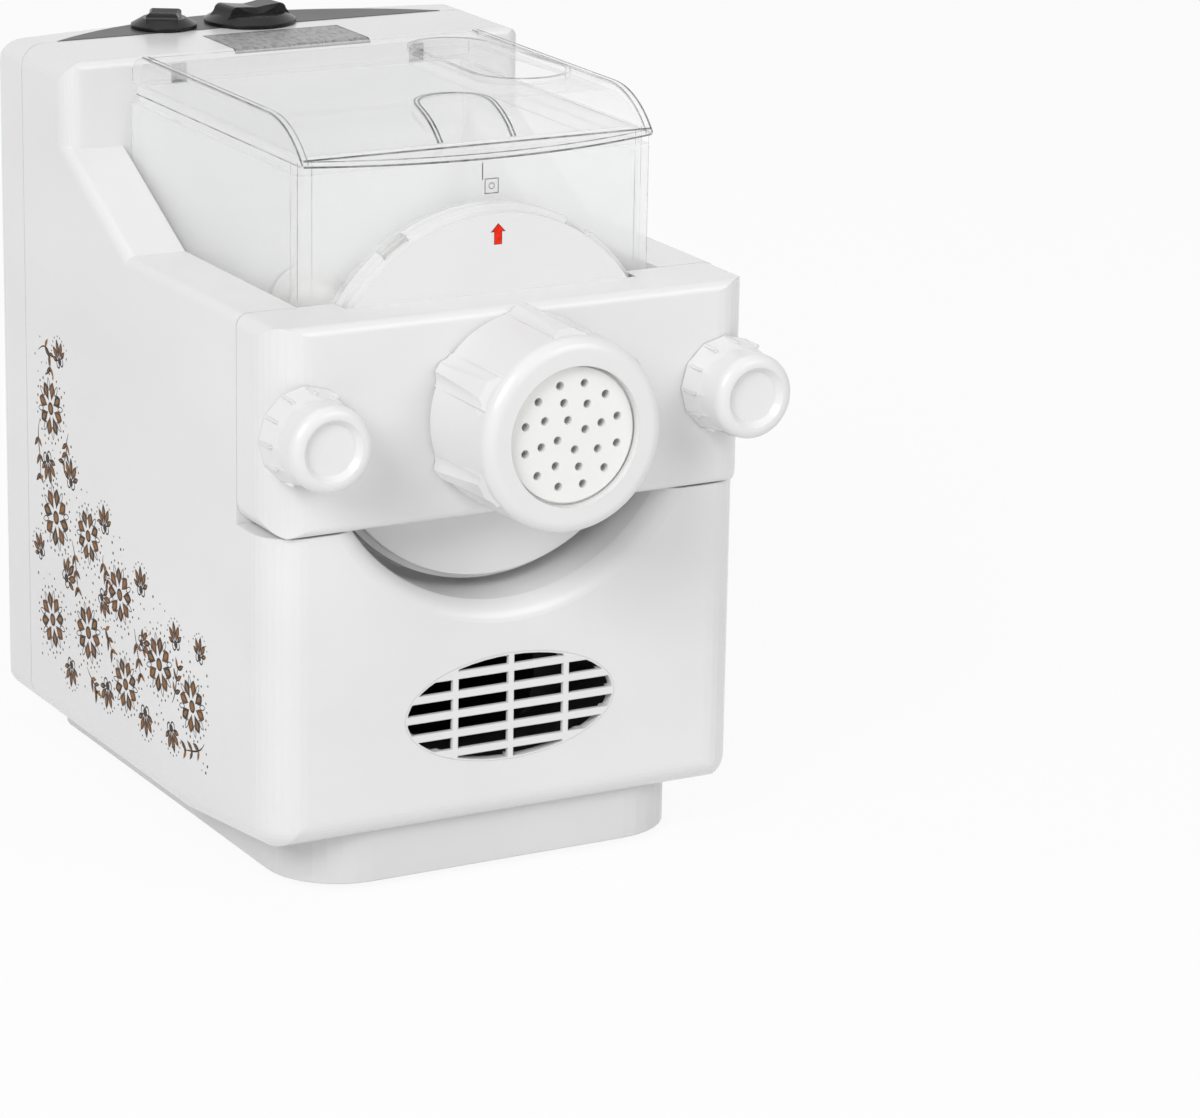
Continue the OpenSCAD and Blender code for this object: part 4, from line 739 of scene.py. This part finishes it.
def lid_trim():
    """Raised side rims, the ring round the thumb scoop and painted shade lines along the lid's
    edges.
    """
    scoop_r, scoop_lift, side_lift = 15.6, 0.65, 0.7
    steps = [LID_FRONT + 0.3 + (CURVE_Y - LID_FRONT) * (k / 16) ** 1.5 for k in range(17)]
    steps += [CURVE_Y + (LID_REAR - 9 - CURVE_Y) * k / 10 for k in range(1, 11)]

    def side_runs(x, lift=0.0):
        """A run along each side of the lid, at x from its middle."""
        return [lid_run([(side * x, y) for y in steps], lift) for side in (-1, 1)]

    sweep(side_runs(CUP_HALF - 1.8), 2.6, 1.1, "lid_rims", lid_clear, "lid")
    sweep([lid_run(scoop_ring(scoop_r))], 2.0, 0.9, "scoop_rim", lid_clear, "lid")

    # painted shade: runs for grey strips along the lid's sides, skirt, lip and scoop
    fine = side_runs(CUP_HALF - 3.0, side_lift + 0.05)
    bold = [lid_run(scoop_ring(r), scoop_lift) for r in (scoop_r - 0.8, scoop_r + 0.8)]
    bold += side_runs(CUP_HALF - 0.5, side_lift)
    skirt = steps + [LID_REAR - 4.5]      # ends before it would meet the column as the lid opens
    for side in (-1, 1):
        out = (side, 0, 0.001)
        fine.append([((side * (CUP_HALF + 0.02), y, LID_LOW + 0.3), out) for y in skirt])
        fine.append([((side * CUP_HALF, LID_REAR - 0.4, LID_LOW + 5 + k), out) for k in range(6)])

    bow_r = (CUP_HALF ** 2 + LID_BOW ** 2) / (2 * LID_BOW)
    angles = [(k / 20 - 1) * math.asin((CUP_HALF - 1.0) / bow_r) for k in range(41)]
    bow = [(bow_r * math.sin(a), LID_FRONT - LID_BOW + bow_r - bow_r * math.cos(a) - 0.02)
           for a in angles]
    for z, kind in ((LID_LOW + 0.2, bold), (LID_LOW + 2.3, fine)):
        kind.append([((x, y, z), (0, -1, 0)) for x, y in bow])
    bold.append([((x * 3.7, LID_FRONT - 0.05, LID_LOW + 2.5), (0, -1, 0.2))
                 for x in range(-20, 21)])
    # painted shade lines laid on the lid
    sweep(fine, 0.4, 0.18, "lid_fine_shade_lines", thin_shade_line, "lid")
    sweep(bold, 0.7, 0.22, "lid_shade_lines", dark_shade_line, "lid")


def inlet_outline(grow):
    """Points round the water inlet's leaf shape, grown by a distance."""
    head, tail = Vector((49.5, LID_FRONT + 63.4)), Vector((48.0, LID_REAR - 37.5))
    head_r, tail_r = 19.0 + grow, 16.0 + grow
    axis = math.atan2(tail.y - head.y, tail.x - head.x)
    lean = math.acos((head_r - tail_r) / (tail - head).length)
    points = []
    for centre, r, start, turn in ((head, head_r, axis + lean, 2 * math.pi - 2 * lean),
                                   (tail, tail_r, axis - lean, 2 * lean)):
        points += [polar(*centre, r, start + turn * k / 20) for k in range(21)]
    return points + points[:2]


def inlet_and_cup_shade_lines():
    """Fine painted shade lines round the water inlet's rim and up the cup's front corners."""
    # painted shade round the inlet's rim
    rims = [[((x, y, LID_TOP + 1.2), (0, 0, 1)) for x, y in inlet_outline(grow)]
            for grow in (0.25, 1.75)]
    sweep(rims, 0.34, 0.14, "inlet_shade_lines", thin_shade_line, "lid")
    low, high = 229.0, 281.5
    levels = [low + (high - low) * k / 8 for k in range(9)]
    uprights = []
    for side in (-1, 1):
        for x, depth, normal in ((74.9, 0.1, (side, -1, 0.001)), (74.9, 6.0, (side, 0, 0.001)),
                                 (69.0, 0.1, (0, -1, 0.001))):
            uprights.append([((side * x, CUP_FRONT + depth, z), normal) for z in levels])
    # painted shade up the cup's front corners
    sweep(uprights, 0.26, 0.06, "cup_shade_lines", thin_shade_line, "hopper")


side_print()
lid_trim()
inlet_and_cup_shade_lines()
front_marks()
top_sticker()
